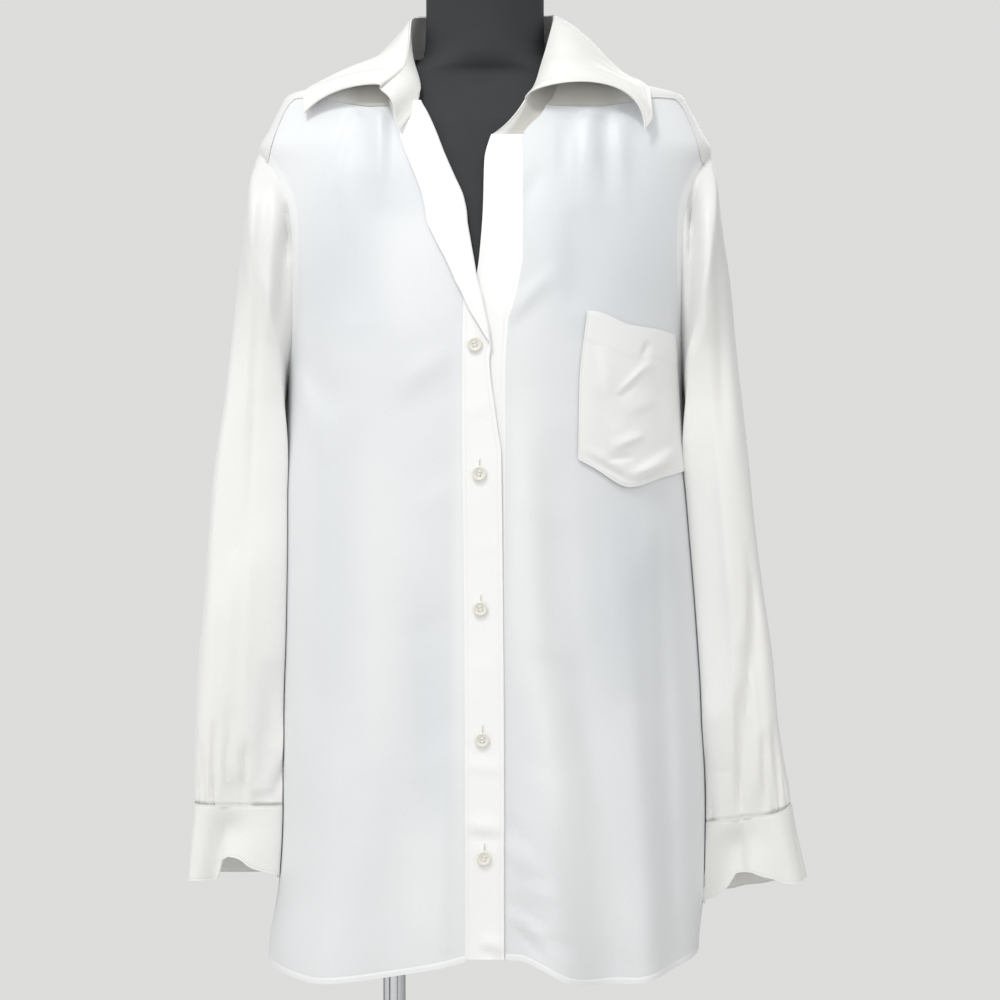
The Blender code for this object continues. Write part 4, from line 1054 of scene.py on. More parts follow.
def over_shoulder(points):
    """Points moved straight up or down onto the blouse's surface."""
    x, y = points[..., 0], points[..., 1]
    low, high = (np.full(x.shape, height) for height in SHOULDER_HEIGHTS)
    return np.stack([x, y, last_inside(low, high, lambda z: np.stack([x, y, z], axis=-1))], axis=-1)


def section_slopes(points):
    """How fast the section's size grows along each axis."""
    step = 1.0 * MM
    slopes = []
    for move in np.eye(3) * step:
        slopes.append((section_size(points + move) - section_size(points - move)) / (2.0 * step))
    return np.stack(slopes, axis=-1)


def onto_blouse(points):
    """Points near the blouse's surface, moved square onto it."""
    for _ in range(2):
        slopes = section_slopes(points)
        away = (section_size(points) - 1.0) / (slopes ** 2).sum(axis=-1)
        points = points - slopes * away[..., None]
    return points


def stations(sections, prefix, places):
    """Points of one named line of the collar at places counted along its sections."""
    index = np.arange(len(sections[prefix + "_x"]), dtype=float)
    lines = [smooth_curve(places, index, sections[prefix + axis]) for axis in ("_x", "_y", "_z")]
    return np.stack(lines, axis=-1)


def neckline(places):
    """Points of the neck seam at places counted along the collar's sections."""
    return on_blouse(stations(STAND_SECTIONS, "seam", places))


def lapped_seam(seam):
    """A front's top edge, moved down square to itself, so that the yoke laps over it."""
    run = np.gradient(seam, axis=0)
    down = np.sign(run[:, 0]) * YOKE_LAP / np.hypot(run[:, 0], run[:, 2])
    x = seam[:, 0] + down * run[:, 2]
    z = seam[:, 2] - down * run[:, 0]
    return np.stack([x, front_y(x, z), z], axis=-1)


def yoke_face(left_seam, right_seam, back_seam):
    """The yoke: over both shoulders and across the back, lapped a little over the panels' seams."""
    neck = neckline(NECK_PLACES)[1:-1]
    first = np.concatenate([lapped_seam(left_seam)[1:], neck, lapped_seam(right_seam)[:-1]])
    out_to_corner = np.linspace(np.abs(back_seam[0, 0]), YOKE_CORNER_BACK_X, len(left_seam))[1:]
    share = np.linspace(1.0, -1.0, len(neck) + 2)[1:-1]
    across = YOKE_CORNER_BACK_X * np.sign(share) * (1.0 - (1.0 - np.abs(share)) ** 1.6)
    last_x = np.concatenate([out_to_corner, across, -out_to_corner[::-1]])
    order = np.argsort(back_seam[:, 0])
    last_z = np.interp(last_x, back_seam[order, 0], back_seam[order, 2]) - YOKE_LAP
    last = np.stack([last_x, back_y(last_x, last_z), last_z], axis=-1)
    angles = np.linspace(FRONT_SEAM_ANGLE, BACK_SEAM_ANGLE - 360.0, YOKE_ROWS)
    rows = []
    for row, angle in enumerate(angles):
        part = row / (YOKE_ROWS - 1.0)
        outward = 1.0 - (1.0 - part) ** 1.5
        line = first + (last - first) * np.array([outward, part, part])
        if 0 < row < YOKE_ROWS - 1:
            line = over_shoulder(line)
        ends = [armhole(side, np.array([angle])) for side in (1.0, -1.0)]
        rows.append(np.concatenate([ends[0], line, ends[1]]))
    face = np.array(rows)
    for end, way in ((0, 1), (-1, -1)):
        for step in range(1, YOKE_END_COLUMNS):
            share = step / YOKE_END_COLUMNS
            inner = face[1:-1, end + way * YOKE_END_COLUMNS]
            face[1:-1, end + way * step] = face[1:-1, end] * (1.0 - share) + inner * share
    for _ in range(YOKE_SMOOTHINGS):
        around = face[:-2, 1:-1] + face[2:, 1:-1] + face[1:-1, :-2] + face[1:-1, 2:]
        face[1:-1, 1:-1] = onto_blouse(0.5 * face[1:-1, 1:-1] + around / 8.0)
    from_ends = np.minimum(np.arange(YOKE_ROWS), np.arange(YOKE_ROWS)[::-1])
    lift = YOKE_LIFT * (1.0 + 0.5 * np.exp(-((from_ends / 2.0) ** 2)))[:, None]
    lift = lift + uneven(face[..., 0], face[..., 1], YOKE_UNEVENNESS)
    lifted = face + unit(section_slopes(face)) * lift[..., None]
    lifted[:, (0, -1)] = face[:, (0, -1)]
    return lifted[:, ::-1]


def strip_place(root, z, run, lift):
    """Points at a run along a row from the placket's root and a lift off the blouse's surface."""
    x = root + run
    step = 0.5 * MM
    slope = (front_y(x + step, z) - front_y(x - step, z)) / (2.0 * step)
    normal = unit(np.stack([slope, -np.ones_like(slope), np.zeros_like(slope)], axis=-1))
    return np.stack([x, front_y(x, z), np.broadcast_to(z, x.shape)], axis=-1) + normal * lift[..., None]


def placket_left_face():
    """The under placket: it lies just behind the right one and shows above the first button."""
    part = np.linspace(0.0, 1.0, LEFT_PLACKET_COLUMNS)
    low = along(HEM, "front", 0.0)
    rows = []
    for z in np.linspace(low, LEFT_PLACKET_TOP, LEFT_PLACKET_ROWS):
        free = along(LEFT_FREE_EDGE, "across", z)
        seam = along(LEFT_EDGE, "across", z) + LEFT_SEAM_GAP
        x = free + (seam - free) * part
        sink = PLACKET_OVERLAP_LIFT * (1.0 - part) * (1.0 - ease((z - PARTING_HEIGHT) / PARTING_RUN))
        floor = np.where(x > 0.0, along(HEM, "front", x) - low, 0.0)
        drop = floor * (1.0 - ease((z - low) / 0.03))
        lift = 0.5 * MM * ease((z - PARTING_HEIGHT) / 0.03)
        rows.append(np.stack([x, front_y(x, z + drop) + sink - lift, z + drop], axis=-1))
    return np.array(rows)


def rolled_row(fold, width):
    """One cross-section of the right placket: flat up to its fold, then rolled back over itself."""
    radius = LAPEL_ROLL_RADIUS
    turn_length = math.pi * radius
    near = min(fold, width - turn_length - LAPEL_EDGE)
    flat = np.linspace(0.0, near, FLAT_COLUMNS)
    bend = near + np.linspace(0.0, 1.0, BEND_COLUMNS)[1:] * turn_length
    rest = np.linspace(bend[-1], width, ROLLED_COLUMNS)[1:]
    length = np.concatenate([flat, bend, rest])
    angle = np.clip((length - fold) / radius, 0.0, math.pi)
    past = np.clip(length - fold - turn_length, 0.0, None)
    run = np.minimum(length, fold) + radius * np.sin(angle) - past
    settle = np.clip(past / LAPEL_SETTLE_RUN, 0.0, 1.0) * LAPEL_SETTLE
    return run, radius * (1.0 - np.cos(angle)) - settle, angle


def placket_right_face():
    """The upper placket: over the left one to the first button, then rolled back as a narrow lapel."""
    half = BAND_CLOTH / 2.0
    roll_low, roll_top = ROLL_HEIGHTS
    heights = np.concatenate([
        np.linspace(along(HEM, "front", 0.0), roll_low, FLAT_ROWS, endpoint=False),
        np.linspace(roll_low, roll_top, ROLL_ROWS, endpoint=False),
        np.linspace(roll_top, RIGHT_PLACKET_TOP, LAPEL_ROWS),
    ])
    rows = []
    for z in heights:
        root = along(RIGHT_EDGE, "across", z) - RIGHT_SEAM_GAP
        fold = along(RIGHT_FOLD, "run", z)
        run, lift, angle = rolled_row(fold, along(RIGHT_FOLD, "width", z))
        overlap = 1.0 - ease((z - PARTING_HEIGHT) / PARTING_RUN)
        lean = PLACKET_OVERLAP_LIFT * np.clip(np.minimum(run, fold) / PLACKET_WIDTH, 0.0, 1.0)
        wrinkle = crease_height(PLACKET_CREASES, root + run, np.full_like(run, z)) * overlap
        lift = lift + lean * (0.25 + 0.75 * overlap) - half + wrinkle
        rows.append(strip_place(root, z, run - np.sin(angle) * half, lift + np.cos(angle) * half))
    return np.array(rows)


def through(lines, part):
    """The line at a share of the way along a smooth surface through evenly spaced lines."""
    total = 0.0
    for index, line in enumerate(lines):
        weight = 1.0
        for other in range(len(lines)):
            if other != index:
                weight *= ((len(lines) - 1.0) * part - other) / (index - other)
        total = total + line * weight
    return total


def stand_face():
    """The collar's stand: up from the neck seam, over its crest, to the leaf's seam."""
    lapped = ease((COLLAR_PLACES - STAND_LAP_PLACE) / 0.6)[:, None]
    seam = neckline(COLLAR_PLACES) * (1.0 - lapped) + stations(STAND_SECTIONS, "seam", COLLAR_PLACES) * lapped
    lines = [seam] + [stations(STAND_SECTIONS, name, COLLAR_PLACES) for name in ("crest", "top")]
    face = np.array([through(lines, part) for part in np.linspace(-0.005, 1.0, STAND_ROWS)])
    crumple = np.exp(-(((COLLAR_PLACES[-1] - COLLAR_PLACES) / 0.55) ** 2))
    wave = np.sin(np.linspace(0.0, 2.4 * np.pi, STAND_ROWS))[:, None] * crumple[None, :] * STAND_CRUMPLE
    return face + surface_normals(face) * wave[..., None]


def leaf_face():
    """The collar's leaf: from the stand's top out and down to its long edge and two points."""
    lines = [stations(STAND_SECTIONS, "top", COLLAR_PLACES)]
    lines += [stations(LEAF_SECTIONS, name, COLLAR_PLACES) for name in ("near", "far", "edge")]
    part = np.linspace(0.0, 1.0, LEAF_ROWS)
    face = np.array([through(lines, share) for share in part])
    part = part[:, None]
    place = COLLAR_PLACES[None, :]
    height = np.zeros(face.shape[:2])
    for where, reach, width, depth in LEAF_CREASES:
        height += depth * MM * np.exp(-(((place - where) / width) ** 2)) * np.sin(np.pi * part ** reach)
    height += 0.5 * MM * np.sin(place * 5.1 + part * 4.0) * np.sin(np.pi * part)
    ripple = np.sin(place * 13.0 - part * 5.0) * np.sin(np.pi * part ** 0.6) * np.sin(place * 1.7) ** 2
    height += 0.35 * MM * ripple
    return face - surface_normals(face) * height[..., None]


def ring(side, outer_x, outer_z, inner_x, inner_z, front, back, fullness):
    """One section of a sleeve or cuff, from its outer end round the front to its inner end."""
    cosine = np.cos(np.radians(ROUND_ANGLES))
    sine = np.sin(np.radians(ROUND_ANGLES))
    swing = np.sign(cosine) * np.abs(cosine) ** fullness
    reach = np.abs(sine) ** fullness
    x = (outer_x + inner_x) / 2.0 + (outer_x - inner_x) / 2.0 * swing
    z = (outer_z + inner_z) / 2.0 + (outer_z - inner_z) / 2.0 * cosine
    return np.stack([side * x, np.where(sine > 0, -front * reach, back * reach), z], axis=-1)


def tube_rows(side, sections, first, count, fullness):
    """Rings of a tube, evenly taken along its sections."""
    fulls = np.linspace(fullness, CUFF_FULLNESS, len(sections["outer_x"]))
    rings = first + [ring(side, *values, full) for *values, full in zip(*sections.values(), fulls)]
    index = np.arange(len(rings), dtype=float)
    places = np.linspace(0.0, index[-1], count)
    return np.apply_along_axis(lambda line: smooth_curve(places, index, line), 0, np.array(rings))


def push_out(rings, amount):
    """Rings with each point moved level away from its ring's middle."""
    away = rings - rings.mean(axis=1, keepdims=True)
    away[..., 2] = 0.0
    return rings + unit(away) * amount[..., None]


def beside_body(side, rings):
    """A sleeve's or cuff's rings, with their inner side hanging close along the body's."""
    x, y, z = np.moveaxis(rings, -1, 0)
    share = np.clip(np.abs(y) / depth_column(BLOUSE, y, z), 0.0, 1.0)
    body = half_width(x, z) * bulge(share) + SLEEVE_GAP
    inner = ease((-np.cos(np.radians(ROUND_ANGLES))[None, :] - 0.25) / 0.4)
    share = inner * ease((ARMHOLE_BOTTOM + UNDERARM_RISE - z) / UNDERARM_RUN)
    return np.stack([x + (side * body - x) * share, y, z], axis=-1)


def upward(side, rings):
    """Rings from the lowest up, in the order that turns their faces outwards."""
    return rings[::-1, ::-1] if side > 0 else rings[::-1]


def sleeve_face(side, sections, creases, front_creases, seed):
    """A sleeve from the armhole to its cuff, with its long creases and the gathers above the cuff."""
    turn = ROUND_ANGLES[None, :]
    row = np.arange(SLEEVE_ROWS)[:, None]
    rings = tube_rows(side, sections, [armhole(side, ROUND_ANGLES)], SLEEVE_ROWS, SLEEVE_FULLNESS)
    z = rings[..., 2]
    amount = uneven(np.radians(turn) * 0.06, z, SLEEVE_UNEVENNESS)
    for angle, drift, top, low, width, depth in creases:
        run = (top - z) / (top - low)
        strength = ease(run * 3.0) * ease((1.0 - run) * 3.0)
        gap = angle_gap(turn, angle + drift * np.clip(run, 0.0, 1.0))
        amount += depth * MM * strength * np.exp(-((gap / np.where(gap > 0, width, width * 1.8)) ** 2))
    chance = np.random.default_rng(seed)
    above = z - rings[-1, :, 2][None, :]
    place = chance.uniform(*GATHER_START)
    while place < 360.0:
        reach = chance.uniform(*GATHER_REACH)
        depth = chance.uniform(*GATHER_DEPTH) * MM
        width = chance.uniform(*GATHER_WIDTH)
        near = np.clip(1.0 - above / reach, 0.0, 1.0)
        gap = angle_gap(turn, place + chance.uniform(*GATHER_LEAN) * above)
        amount -= depth * ease(near * 1.5) * np.exp(-((gap / (width * (1.6 - 0.6 * near))) ** 2))
        place += chance.uniform(*GATHER_STEP)
    cap = np.clip(row / SLEEVE_CAP_ROWS, 0.0, 1.0)
    puff = np.exp(-(((row - 5.0) / 4.0) ** 2)) * SLEEVE_PUFF
    pinch = np.exp(-(((SLEEVE_ROWS - 1.0 - row) / 1.3) ** 2)) * SLEEVE_PINCH
    rings = push_out(rings, amount * ease(cap) + puff * cap - pinch)
    facing = np.clip(np.sin(np.radians(turn)), 0.0, 1.0) ** 0.5 * np.clip(row / 3.0, 0.0, 1.0)
    rings[..., 1] -= SLEEVE_CREASE_GAIN * crease_height(front_creases, rings[..., 0], rings[..., 2]) * facing
    set_in = ease(row / SET_IN_ROWS)[..., None]
    rings = rings * (1.0 - set_in) + beside_body(side, rings) * set_in
    rings[-1, :, 2] -= SLEEVE_TUCK
    return upward(side, rings)


def cuff_face(side, sections, hollows, rise):
    """A cuff, with the hollow that its stiffer cloth folds into and the part that turns up there."""
    rings = tube_rows(side, sections, [], CUFF_ROWS, CUFF_FULLNESS)
    down = np.linspace(0.0, 1.0, CUFF_ROWS)[:, None]
    rings[..., 2] += along(rise, "rise", ROUND_ANGLES * MM)[None, :] * down ** CUFF_RISE_POWER
    amount = uneven(np.radians(ROUND_ANGLES)[None, :] * 0.05, rings[..., 2], CUFF_UNEVENNESS)
    for angle, drift, width, depth, start in hollows:
        gap = angle_gap(ROUND_ANGLES[None, :], angle + drift * down)
        strength = start + (1.0 - start) * ease(down * 1.8)
        amount += depth * MM * strength * np.exp(-((gap / width) ** 2))
    return upward(side, beside_body(side, push_out(rings, amount)))


def pocket_face():
    """The chest pocket: lifted off the left front's own surface, sagging a little at its foot."""
    share = np.linspace(0.0, 1.0, POCKET_COLUMNS)[None, :]
    up = np.linspace(0.0, 1.0, POCKET_ROWS)[:, None]
    left, right = (along(POCKET_SIDES, name, up) for name in ("left", "right"))
    top, bottom = (along(POCKET_ENDS, name, share) for name in ("top", "bottom"))
    x = left + (right - left) * share
    z = bottom + (top - bottom) * up
    sag = POCKET_SAG * np.sin(np.pi * share) ** 0.8 * np.sin(np.pi * up ** 0.7) ** 0.8
    lift = POCKET_LIFT + sag * 0.6 + PANEL_CLOTH
    lift = lift + crease_height(POCKET_CREASES, x, z) * np.sin(np.pi * share) ** 0.5
    lift = lift + ease((up - POCKET_BAND) / 0.012) * POCKET_BAND_LIFT
    place = np.stack([x, front_y(x, z), z], axis=-1)
    return place + surface_normals(place) * lift[..., None]


def form_gap(face):
    """How near the covered form lies behind the cloth: 1 where it touches, 0 where it is far."""
    x, y, z = np.moveaxis(face, -1, 0)
    size = (np.abs(x) / along(FORM, "half", z)) ** SECTION_POWER
    inner = depth_column(FORM, y, z) * np.clip(1.0 - size, 0.0, 1.0) ** (1.0 / SECTION_POWER)
    gap = np.where(size < 1.0, np.abs(y) - inner, FORM_FAR)
    near = np.exp(-np.clip(gap, 0.0, None) / FORM_SHADE_REACH)
    return near * ease((z - FORM_SHADE_FOOT) / 0.03)


def arc_lengths(face):
    """Distances over the cloth, along each row and up each column."""
    across = np.linalg.norm(np.diff(face, axis=1, prepend=face[:, :1]), axis=-1)
    up = np.linalg.norm(np.diff(face, axis=0, prepend=face[:1]), axis=-1)
    return np.cumsum(across, axis=1), np.cumsum(up, axis=0)


def body_shade(face, side):
    """How dark the form behind makes the cloth, with patches that are partly form tint and partly painted
    shade, and none where the cloth is doubled.
    """
    shade = BODY_SHADE + BODY_SHADE_NEAR * form_gap(face)
    if side != 0.0:
        shade = shade + PATCH_GAIN * crease_height(BODY_TINT_AND_PAINTED_SHADE_PATCHES, face[..., 0], face[..., 2])
    width, length = arc_lengths(face)
    from_armhole = width if side < 0 else width[:, -1:] - width
    if side == 0.0:
        from_armhole = np.minimum(width, from_armhole)
    doubled = 1.0 - ease((from_armhole - FELLED_WIDTH) / DOUBLED_EDGE)
    doubled[:BODY_ROWS] = 0.0
    doubled = np.maximum(doubled, 1.0 - ease((length - HEM_DEPTH) / DOUBLED_EDGE))
    return np.clip(shade, 0.0, 1.0) * (1.0 - 0.8 * doubled)


def stitch_map(width, length, borders):
    """For each point of the cloth, how far along and how far in from its nearest stitched border."""
    away = {
        "low": length,
        "top": length[-1:] - length,
        "first": width,
        "last": width[:, -1:] - width,
    }
    far = np.full(width.shape, 1.0)
    run = width.copy()
    for border in borders.split():
        near = away[border] < far
        far = np.where(near, away[border], far)
        run = np.where(near, width if border in ("low", "top") else length, run)
    return run, far


def finished(bm, name):
    """The mesh of a bmesh, which ends with it."""
    mesh = bpy.data.meshes.new(name)
    bm.to_mesh(mesh)
    bm.free()
    return mesh


def linked(name, data):
    """A new object in the scene."""
    made = bpy.data.objects.new(name, data)
    bpy.context.collection.objects.link(made)
    return made


def settled(made):
    """An object's mesh with its modifiers worked out."""
    return bpy.data.meshes.new_from_object(made.evaluated_get(bpy.context.evaluated_depsgraph_get()))


def merge_doubles(bm):
    bmesh.ops.remove_doubles(bm, verts=bm.verts, dist=MERGE_DISTANCE)


def round_edges(bm, edges, offset, segments):
    bmesh.ops.bevel(
        bm, geom=edges, offset=offset, affect="EDGES", segments=segments, profile=0.5, material=-1
    )


def fit_to_frame(made, slot, node=None):
    """A piece's place in the frame: the body it rides and the node it shows. Its slot is not used."""
    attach(made, "root")
    if node:
        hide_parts(node)


def cloth_piece(node, face, looks, tube=None, shade=None):
    """One sewn piece: a sheet placed by its grid of points, with a wall and maps of its threads and seams."""
    wall, look, slot, held, borders, flat_width, flat_length, flat_area = CLOTH[tube or node]
    shade = np.zeros(face.shape[:2]) if shade is None else shade
    if tube:
        face = np.concatenate([face, face[:, :1]], axis=1)
        shade = np.concatenate([shade, shade[:, :1]], axis=1)
    rows, columns = face.shape[:2]
    bm = bmesh.new()
    bmesh.ops.create_grid(bm, x_segments=columns - 1, y_segments=rows - 1, size=0.5)
    mesh = finished(bm, node + "_cloth")
    mesh.vertices.foreach_set("co", face.reshape(-1))
    width, length = arc_lengths(face)
    run, far = stitch_map(width, length, borders)
    corner = np.empty(len(mesh.loops), dtype=np.int32)
    mesh.loops.foreach_get("vertex_index", corner)
    for label, first, second in (("threads", width, length), ("seams", run, far)):
        places = np.stack([first.reshape(-1), second.reshape(-1)], axis=-1)[corner]
        mesh.uv_layers.new(name=label).data.foreach_set("uv", places.reshape(-1))
    # The form's tint on the cloth and its painted shade, as a share for the material.
    mesh.attributes.new("form_tint_and_painted_shade", "FLOAT", "POINT").data.foreach_set("value", shade.reshape(-1))
    if tube:
        bm = bmesh.new()
        bm.from_mesh(mesh)
        merge_doubles(bm)
        bm.to_mesh(mesh)
        bm.free()
    mesh.polygons.foreach_set("use_smooth", np.ones(len(mesh.polygons), dtype=bool))
    made = linked(node + "_cloth", mesh)
    solid = made.modifiers.new("cloth wall", "SOLIDIFY")
    solid.thickness = wall
    solid.offset = -1.0
    walled = settled(made)
    made.modifiers.clear()
    made.data = walled
    walled.set_sharp_from_angle(angle=CLOTH_CORNER)
    walled.materials.append(looks[look])
    fit_to_frame(made, slot, node)


def hard_piece(name, bm, look, slot, node=None):
    """A rigid piece from a finished bmesh."""
    bmesh.ops.recalc_face_normals(bm, faces=bm.faces)
    mesh = finished(bm, name)
    mesh.polygons.foreach_set("use_smooth", np.ones(len(mesh.polygons), dtype=bool))
    mesh.set_sharp_from_angle(angle=HARD_CORNER)
    mesh.materials.append(look)
    fit_to_frame(linked(name, mesh), slot, node)


def spun(profile, steps):
    """A solid of revolution round the upright axis from (radius, height) pairs."""
    bm = bmesh.new()
    verts = [bm.verts.new((radius, 0.0, height)) for radius, height in profile]
    edges = [bm.edges.new(pair) for pair in zip(verts, verts[1:])]
    bmesh.ops.spin(
        bm,
        geom=verts + edges,
        cent=(0.0, 0.0, 0.0),
        axis=(0.0, 0.0, 1.0),
        angle=2.0 * math.pi,
        steps=steps,
        use_merge=True,
    )
    merge_doubles(bm)
    bmesh.ops.dissolve_degenerate(bm, edges=bm.edges, dist=MERGE_DISTANCE)
    return bm


def feed(tree, socket, value):
    """A plain value or a link into a socket."""
    if isinstance(value, bpy.types.NodeSocket):
        tree.links.new(value, socket)
    else:
        socket.default_value = value


def add_node(tree, kind, inputs=None, **settings):
    """A shader node with its settings, and plain values or links on its inputs."""
    node = tree.nodes.new("ShaderNode" + kind)
    for key, value in settings.items():
        setattr(node, key, value)
    for key, value in (inputs or {}).items():
        feed(tree, node.inputs[key], value)
    return node


def calculate(tree, operation, *values, clamp=False):
    """One step of arithmetic on sockets or numbers."""
    return add_node(tree, "Math", dict(enumerate(values)), operation=operation, use_clamp=clamp).outputs[0]


def scaled(tree, vector, factor):
    """A vector or colour times a number."""
    return add_node(tree, "VectorMath", {0: vector, "Scale": factor}, operation="SCALE").outputs[0]


def clouds(tree, place, scale, detail):
    """A cloudy pattern's value."""
    return add_node(tree, "TexNoise", {"Vector": place, "Scale": scale, "Detail": detail}).outputs["Fac"]


def blend(tree, factor, first, second):
    """One colour turning into another."""
    return add_node(tree, "Mix", {0: factor, 6: first, 7: second}, data_type="RGBA").outputs[2]


def effect_group(name, inputs, outputs):
    """A shader node group with named inputs and outputs."""
    group = bpy.data.node_groups.new(name, "ShaderNodeTree")
    for label, kind, value in inputs:
        socket = group.interface.new_socket(label, in_out="INPUT", socket_type="NodeSocket" + kind)
        if value is not None:
            socket.default_value = value
    for label, kind in outputs:
        group.interface.new_socket(label, in_out="OUTPUT", socket_type="NodeSocket" + kind)
    return group, group.nodes.new("NodeGroupInput").outputs, group.nodes.new("NodeGroupOutput").inputs


def weave_group():
    """Fine uneven threads both ways of the cloth, with soft slubs."""
    group, given, result = effect_group(
        "silk weave",
        (("Place", "Vector", None), ("Threads per metre", "Float", 1300.0)),
        (("Height", "Float"), ("Tone", "Float")),
    )
    place = scaled(group, given["Place"], given["Threads per metre"])
    threads = []
    for stretch, start in (((1.0, 0.16, 1.0), (0.0, 0.0, 0.0)), ((0.2, 1.0, 1.0), (3.7, 1.3, 0.0))):
        way = add_node(group, "Mapping", {"Vector": place, "Scale": stretch, "Location": start})
        threads.append(clouds(group, way.outputs[0], 1.0, 2.0))
    height = calculate(group, "ADD", *threads)
    feed(group, result["Height"], height)
    tone = calculate(group, "MULTIPLY", calculate(group, "SUBTRACT", height, 1.0), 0.05)
    feed(group, result["Tone"], calculate(group, "ADD", tone, 1.0))
    return group


def tone_group():
    """The cloth's colour: cooler where the covered form lies close behind, darker where shade is painted, and
    faintly uneven.
    """
    group, given, result = effect_group(
        "cloth tone",
        (
            ("Free colour", "Color", (0.9, 0.9, 0.89, 1.0)),
            ("Tinted and painted shade colour", "Color", (0.8, 0.82, 0.84, 1.0)),
            ("Tint and painted shade", "Float", 0.0),
            ("Place", "Vector", None),
            ("Tone", "Float", 1.0),
        ),
        (("Colour", "Color"),),
    )
    mixed = blend(group, given["Tint and painted shade"], given["Free colour"], given["Tinted and painted shade colour"])
    cloud = calculate(group, "SUBTRACT", clouds(group, given["Place"], 9.0, 3.0), 0.5)
    patch = calculate(group, "MULTIPLY", cloud, 0.045)
    factor = calculate(group, "MULTIPLY", calculate(group, "ADD", patch, 1.0), given["Tone"])
    feed(group, result["Colour"], scaled(group, mixed, factor))
    return group


def stitch_group():
    """A line of stitches at a distance from a seam: its thread as a dashed mask, its groove as a depth."""
    group, given, result = effect_group(
        "stitch line",
        (
            ("Run", "Float", 0.0),
            ("Distance", "Float", 1.0),
            ("Offset", "Float", 0.005),
            ("Pitch", "Float", 0.0024),
        ),
        (("Thread", "Float"), ("Groove", "Float")),
    )
    gap = calculate(group, "ABSOLUTE", calculate(group, "SUBTRACT", given["Distance"], given["Offset"]))
    line, groove = (
        calculate(group, "SUBTRACT", 1.0, calculate(group, "DIVIDE", gap, half), clamp=True)
        for half in (0.4 * MM, 1.3 * MM)
    )
    beat = calculate(group, "FRACT", calculate(group, "DIVIDE", given["Run"], given["Pitch"]))
    dash = calculate(group, "LESS_THAN", beat, 0.72)
    feed(group, result["Thread"], calculate(group, "MULTIPLY", line, dash))
    feed(group, result["Groove"], groove)
    return group


def bump(tree, height, strength, distance, **normal):
    """A relief's normals, over other normals where they are given."""
    inputs = {"Height": height, "Strength": strength, "Distance": distance, **normal}
    return add_node(tree, "Bump", inputs).outputs[0]


def material(name, **values):
    """A new material with plain values on its shader."""
    made = bpy.data.materials.new(name)
    made.use_nodes = True
    shader = made.node_tree.nodes["Principled BSDF"]
    for key, value in values.items():
        shader.inputs[key.replace("_", " ")].default_value = value
    return made, made.node_tree, shader.inputs


def silk(name, free, tinted_and_painted_shade_colour, roughness, offset, weave, tone, stitch):
    """Soft white silk: a fine weave, a faint sheen and its own line of stitches."""
    made, tree, shader = material(
        name, Roughness=roughness, Sheen_Weight=0.25, Sheen_Roughness=0.4, Specular_IOR_Level=0.35
    )
    seams = add_node(tree, "UVMap", uv_map="seams")
    run, distance, _ = add_node(tree, "SeparateXYZ", {0: seams.outputs[0]}).outputs
    threads = add_node(tree, "UVMap", uv_map="threads")
    woven = add_node(tree, "Group", {"Place": threads.outputs[0]}, node_tree=weave).outputs
    inputs = {"Run": run, "Distance": distance, "Offset": offset * MM}
    line = add_node(tree, "Group", inputs, node_tree=stitch).outputs
    inputs = {
        "Free colour": (*free, 1.0),
        "Tinted and painted shade colour": (*tinted_and_painted_shade_colour, 1.0),
        # The share of form tint and painted shade, from the piece's own attribute.
        "Tint and painted shade": add_node(tree, "Attribute", attribute_name="form_tint_and_painted_shade").outputs["Fac"],
        "Place": add_node(tree, "TexCoord").outputs["Object"],
        "Tone": woven["Tone"],
    }
    colour = add_node(tree, "Group", inputs, node_tree=tone).outputs[0]
    # Stitches tinted grey as painted shade.
    sewn = blend(tree, calculate(tree, "MULTIPLY", line["Thread"], 0.35), colour, STITCH_PAINTED_SHADE_COLOUR)
    feed(tree, shader["Base Color"], sewn)
    grooves = bump(tree, calculate(tree, "MULTIPLY", line["Groove"], -1.0), 0.5, 0.35 * MM)
    feed(tree, shader["Normal"], bump(tree, woven["Height"], 0.35, 0.12 * MM, Normal=grooves))
    return made


def plain_material(name, colour, roughness, metallic=0.0, coat=0.0, grain=None):
    """A hard or covered finish with an uneven gloss and, where given, a grain's scale and depth."""
    made, tree, shader = material(name, Metallic=metallic, Coat_Weight=coat)
    place = add_node(tree, "TexCoord").outputs["Object"]
    cloud = clouds(tree, place, 24.0, 4.0)
    inputs = {"Value": cloud, "To Min": roughness * 0.85, "To Max": roughness * 1.15}
    feed(tree, shader["Roughness"], add_node(tree, "MapRange", inputs).outputs[0])
    low, high = ((*(min(channel * part, 1.0) for channel in colour), 1.0) for part in (0.93, 1.07))
    feed(tree, shader["Base Color"], blend(tree, cloud, low, high))
    if grain:
        scale, depth = grain
        feed(tree, shader["Normal"], bump(tree, clouds(tree, place, scale, 3.0), 0.6, depth))
    return made


def form_ring(half, front, back, roundness):
    """One section of the form: the blouse's kind of section, or an ellipse where roundness is 1."""
    turn = np.arange(FORM_STEPS) * 2.0 * math.pi / FORM_STEPS
    power = 2.0 / (SECTION_POWER + (2.0 - SECTION_POWER) * roundness)
    sine, cosine = np.sin(turn), np.cos(turn)
    x = half * np.sign(sine) * np.abs(sine) ** power
    y = -np.where(cosine > 0, front, back) * np.sign(cosine) * np.abs(cosine) ** power
    return x, y


